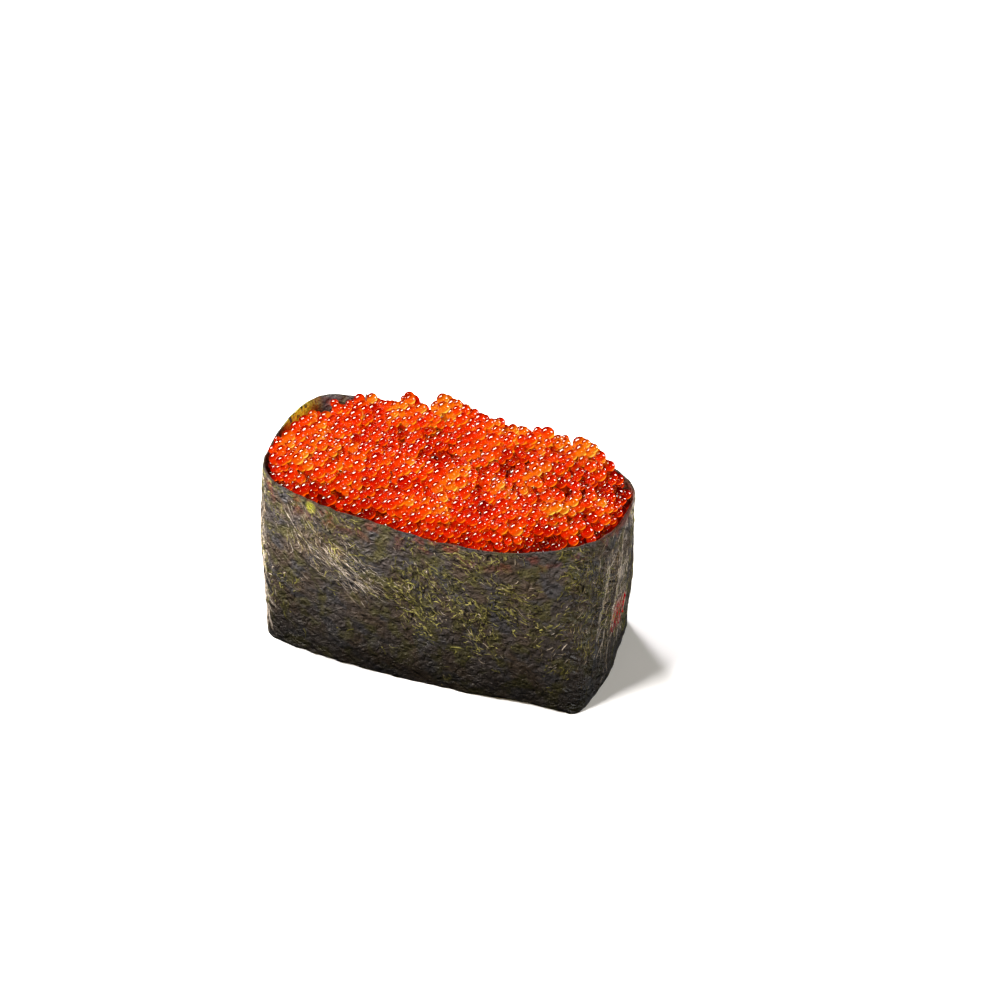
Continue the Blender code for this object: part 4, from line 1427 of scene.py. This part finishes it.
    def settle(
        self, middles: np.ndarray, radii: np.ndarray, depths: np.ndarray
    ) -> tuple[np.ndarray, np.ndarray, np.ndarray]:
        """Push eggs apart where they crowd, keeping each near its depth and inside the wall.

        Args:
            middles: The eggs' middles.
            radii: Their radii.
            depths: How far under the heap's face their tops lie.

        Returns:
            The settled middles, the radii and the settled depths.
        """
        ring, outward = self.ring[::2], self.outward[::2]
        for turn in range(self.rounds):
            if turn % 8 == 0:
                squares = (middles**2).sum(axis=1)
                gaps = squares[:, None] + squares[None, :] - 2.0 * middles @ middles.T
                first, second = np.nonzero(np.triu(gaps < (2.5 * self.giant_radius) ** 2, 1))
            apart = middles[first] - middles[second]
            gap = np.linalg.norm(apart, axis=1)
            crowding = np.maximum(self.closeness * (radii[first] + radii[second]) - gap, 0.0)
            shove = apart * (self.push_share * crowding / gap)[:, None]
            np.add.at(middles, first, shove)
            np.add.at(middles, second, -shove)
            normal = self.facing(middles[:, 0], middles[:, 1])
            sunk = (self.top(middles[:, 0], middles[:, 1]) - middles[:, 2]) * normal[:, 2] - radii
            wanted = np.clip(sunk, depths - self.give, depths + self.give)
            middles -= normal * (wanted - sunk)[:, None]
            away = np.linalg.norm(middles[:, None, :2] - ring[None], axis=2).argmin(axis=1)
            room = ((ring[away] - middles[:, :2]) * outward[away]).sum(axis=1)
            proud = np.maximum(middles[:, 2] - self.form.height, 0.0)
            needed = np.sqrt(np.maximum(radii**2 - proud**2, 0.0))
            middles[:, :2] -= outward[away] * np.maximum(needed - room, 0.0)[:, None]
        normal = self.facing(middles[:, 0], middles[:, 1])
        sunk = (self.top(middles[:, 0], middles[:, 1]) - middles[:, 2]) * normal[:, 2] - radii
        out, limit = self.outwards(middles[:, 0], middles[:, 1], self.bed_reach)
        free = middles[:, 2] >= self.form.height - self.free_depth
        kept = free | (out + radii < limit + self.bed_clearance - self.wall)
        middles[:, 2] = np.minimum(middles[:, 2], self.ceiling - radii)
        return middles[kept], radii[kept], sunk[kept]

    def tone_with_painted_light(self, middles: np.ndarray, depths: np.ndarray) -> np.ndarray:
        """Return each egg's tone, a random drift plus painted light and shade: amber on lumps that face the
        light, red in hollows, along the front, towards the right end and low down.
        """
        random = np.random.default_rng(self.seed + 1)
        x, y = middles[:, 0], middles[:, 1]
        # Painted light and shade: the tone rises where the heap faces the key lamp and on lumps, and falls in
        # hollows.
        lit = self.facing(x, y) @ np.array(self.towards_light)
        broad = [self.top(x + dx, y + dy) for dx in (-0.003, 0.0, 0.003) for dy in (-0.003, 0.0, 0.003)]
        proud = (self.top(x, y) - np.mean(broad, axis=0)) / 0.001
        drift = Ripples(14).over(x, y, 0.0038, 40.0) + 0.5 * Ripples(15).over(x, y, 0.0017)
        painted_light_tone = 0.64 + 0.42 * (lit - 0.72) + 0.24 * proud + 0.17 * drift + random.normal(0.0, 0.09, len(x))
        # Painted shade: redder along the front and for deeper eggs, and a little redder towards the right
        # end.
        front = np.clip((-0.0070 - (y - self.middle[1])) / 0.0045, 0.0, 1.0)
        right = np.clip((x - self.middle[0] - 0.017) / 0.008, 0.0, 1.0)
        painted_light_tone -= 0.20 * front + 0.08 * right + 0.50 * np.clip(depths / 0.0020, 0.0, 1.0)
        return np.clip(painted_light_tone, 0.0, 0.999)

    def build_eggs(self) -> list[bpy.types.Object]:
        """Return one piece of eggs for each tone."""
        middles, radii, depths = self.pack()
        painted_light_tone = self.tone_with_painted_light(middles, depths)
        random = np.random.default_rng(self.seed + 2)
        fine, coarse = ball(3), ball(2)
        pieces = []
        for number, tone in enumerate(Tone):
            low, high = self.steps[number], self.steps[number + 1]
            points, faces, tints, sunk, count = [], [], [], [], 0
            for egg in np.flatnonzero((painted_light_tone >= low) & (painted_light_tone < high)):
                ball_points, ball_faces = fine if depths[egg] < self.fine_depth else coarse
                spin = Matrix.Rotation(random.uniform(0.0, FULL_TURN), 3, Vector(random.normal(size=3)))
                squash = random.uniform(*self.squash, 3)
                shaped = (ball_points * squash * radii[egg]) @ np.array(spin).T + middles[egg]
                points.append(shaped)
                faces.append(ball_faces + count)
                tints.append(np.full(len(shaped), (painted_light_tone[egg] - low) / (high - low)))
                sunk.append(np.full(len(shaped), min(max(depths[egg] / 0.0024, 0.0), 1.0)))
                count += len(shaped)
            finish = EggFinish(tone, self.hues[number], self.hues[number + 1])
            mesh = smooth_mesh(f"roe_{tone.value}", np.concatenate(points), np.concatenate(faces))
            note_on_points(mesh, "tint", np.concatenate(tints))
            note_on_points(mesh, "depth", np.concatenate(sunk))
            pieces.append(place(f"roe_{tone.value}", mesh, finish.make()))
        return pieces

    def build_bed(self) -> bpy.types.Object:
        """Return the dark bed that closes the gaps between the lowest eggs: a sheet of painted shade in deep
        egg colours.
        """
        shares, spokes = np.linspace(0.0, 1.0, 40), 180
        angle = np.linspace(-math.pi, math.pi, spokes, endpoint=False)
        limit = np.interp(angle, self.angles, self.bed_reach, period=FULL_TURN)
        rings = []
        for share in shares:
            x = self.middle[0] + share * limit * np.cos(angle)
            y = self.middle[1] + share * limit * np.sin(angle)
            lowered = self.top(x, y) - self.bed_depth - 0.0012 * share**4
            rings.append(np.column_stack([x, y, lowered]))
        foot = rings[-1].copy()
        foot[:, 2] = self.form.height * 4.0 / 6.0 + 0.0004
        centre = foot.copy()
        centre[:, :2] = self.middle
        points = np.concatenate([*rings, foot, centre])
        numbers = np.arange(len(points)).reshape(-1, spokes)
        turned = np.roll(numbers, -1, axis=1)
        faces = quads(numbers[:-1], numbers[1:], turned[1:], turned[:-1])
        # Painted shade: the bed takes the deepest egg colours, partly darkened by depth.
        finish = EggFinish(Tone.DEEP, self.hues[0], self.hues[1], seen_through=0.0)
        mesh = smooth_mesh("roe_shade_bed", points, faces)
        note_on_points(mesh, "tint", np.full(len(points), 0.5))
        note_on_points(mesh, "depth", np.full(len(points), 0.4))
        return place("roe_shade_bed", mesh, finish.make())

    def build(self) -> list[bpy.types.Object]:
        """Return the eggs and their bed, standing together for the heap's solid."""
        pieces = [*self.build_eggs(), self.build_bed()]
        for piece in pieces:
            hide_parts("tobiko_heap")
        return pieces


@dataclass(frozen=True)
class Lamp:
    """A soft box that faces the piece, with the way that its long side runs."""

    name: str
    towards: tuple[float, float, float]
    distance: float
    size: tuple[float, float]
    power: float
    colour: Colour = WHITE
    long_side: tuple[float, float, float] = (1.0, 0.0, 0.0)
    mirrored: bool = True

    def light(self, target: Vector) -> None:
        """Hang the lamp so that it faces a target."""
        data = bpy.data.lights.new(self.name, "AREA")
        data.shape = "RECTANGLE"
        data.size, data.size_y = self.size
        data.energy = self.power
        data.color = self.colour
        lamp = bpy.data.objects.new(self.name, data)
        lamp.visible_glossy = self.mirrored
        lamp.visible_transmission = self.mirrored
        bpy.context.scene.collection.objects.link(lamp)
        way = Vector(self.towards).normalized()
        side = Vector(self.long_side)
        side = (side - way * side.dot(way)).normalized()
        turn = Matrix((side, way.cross(side), way)).transposed().to_4x4()
        lamp.matrix_world = Matrix.Translation(target + way * self.distance) @ turn


@dataclass
class Studio:
    """A pale floor, soft lamps and the camera."""

    azimuth: float = math.radians(21.95)
    elevation: float = math.radians(38.8)
    distance: float = 0.47933
    slide: tuple[float, float] = (0.008079, 0.01876)
    focal: float = 115.2
    sensor: float = 36.0
    floor_half: float = 1.5
    floor_colour: Colour = (0.80, 0.80, 0.80)
    room_colour: Colour = (0.95, 0.97, 1.0)
    room_strength: float = 0.09
    target_height: float = 0.024
    lamps: tuple[Lamp, ...] = (
        Lamp("key_lamp", TO_KEY, 0.55, (0.43, 0.18), 5.6, (1.0, 0.91, 0.78), (0.68, 0.49, 0.54)),
        Lamp("right_lamp", (0.85, 0.40, 0.30), 0.60, (0.14, 0.36), 3.2),
        Lamp(
            "left_lamp",
            (-0.75, 0.60, 0.28),
            0.60,
            (0.12, 0.40),
            11.0,
            (1.0, 0.97, 1.0),
            (0.0, 1.0, 0.0),
            mirrored=False,
        ),
        Lamp("front_lamp", (-0.50, -0.52, 0.69), 0.80, (0.18, 0.14), 12.5, (1.0, 0.97, 0.95), mirrored=False),
        Lamp("glint_lamp", (0.555, -0.729, 0.401), 0.60, (0.10, 0.08), 0.7, (1.0, 0.78, 0.35)),
    )

    def camera(self, shift: np.ndarray) -> None:
        """Set the camera at the photograph's angle.

        Args:
            shift: How far the piece was moved in plan when it was settled.
        """
        back = Vector(
            (
                math.sin(self.azimuth) * math.cos(self.elevation),
                -math.cos(self.azimuth) * math.cos(self.elevation),
                math.sin(self.elevation),
            )
        )
        right = Vector((math.cos(self.azimuth), math.sin(self.azimuth), 0.0))
        up = back.cross(right)
        eye = back * self.distance + right * self.slide[0] + up * self.slide[1]
        eye = eye + Vector((shift[0], shift[1], 0.0))
        data = bpy.data.cameras.new("camera")
        data.lens, data.sensor_width = self.focal, self.sensor
        camera = bpy.data.objects.new("camera", data)
        bpy.context.scene.collection.objects.link(camera)
        camera.matrix_world = Matrix.Translation(eye) @ Matrix((right, up, back)).transposed().to_4x4()
        bpy.context.scene.camera = camera

    def floor(self) -> None:
        """Lay the pale floor."""
        half = self.floor_half
        points = np.array([(-half, -half, 0.0), (half, -half, 0.0), (half, half, 0.0), (-half, half, 0.0)])
        mesh = smooth_mesh("floor", points, np.array([[0, 1, 2, 3]]))
        bench = Bench("floor")
        mesh.materials.append(bench.dress(Base_Color=rgba(self.floor_colour), Roughness=0.7))
        floor = bpy.data.objects.new("floor", mesh)
        floor.visible_glossy = floor.visible_transmission = floor.visible_diffuse = False
        bpy.context.scene.collection.objects.link(floor)

    def build(self, shift: np.ndarray) -> None:
        """Set up the whole studio."""
        self.floor()
        world = bpy.data.worlds.new("room")
        world.use_nodes = True
        room = world.node_tree.nodes["Background"]
        room.inputs["Color"].default_value = rgba(self.room_colour)
        room.inputs["Strength"].default_value = self.room_strength
        world.cycles_visibility.glossy = False
        bpy.context.scene.world = world
        bpy.context.scene.view_settings.view_transform = "Standard"
        target = Vector((shift[0], shift[1], self.target_height))
        for lamp in self.lamps:
            lamp.light(target)
        self.camera(shift)


def main() -> None:
    """Build the piece of sushi and its studio."""
    logging.basicConfig(level=logging.INFO, format="%(name)s: %(message)s")
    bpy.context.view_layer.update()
    form = WrapForm()
    form.settle("nori_wrap")
    strip = NoriStrip(form)
    strip.build()
    fibres = NoriFibres(strip)
    fibres.build()
    JuiceRuns(fibres).build()
    RicePack(form).build()
    RoeHeap(form).build()
    Studio().build(form.shift)


if __name__ == "__main__":
    main()
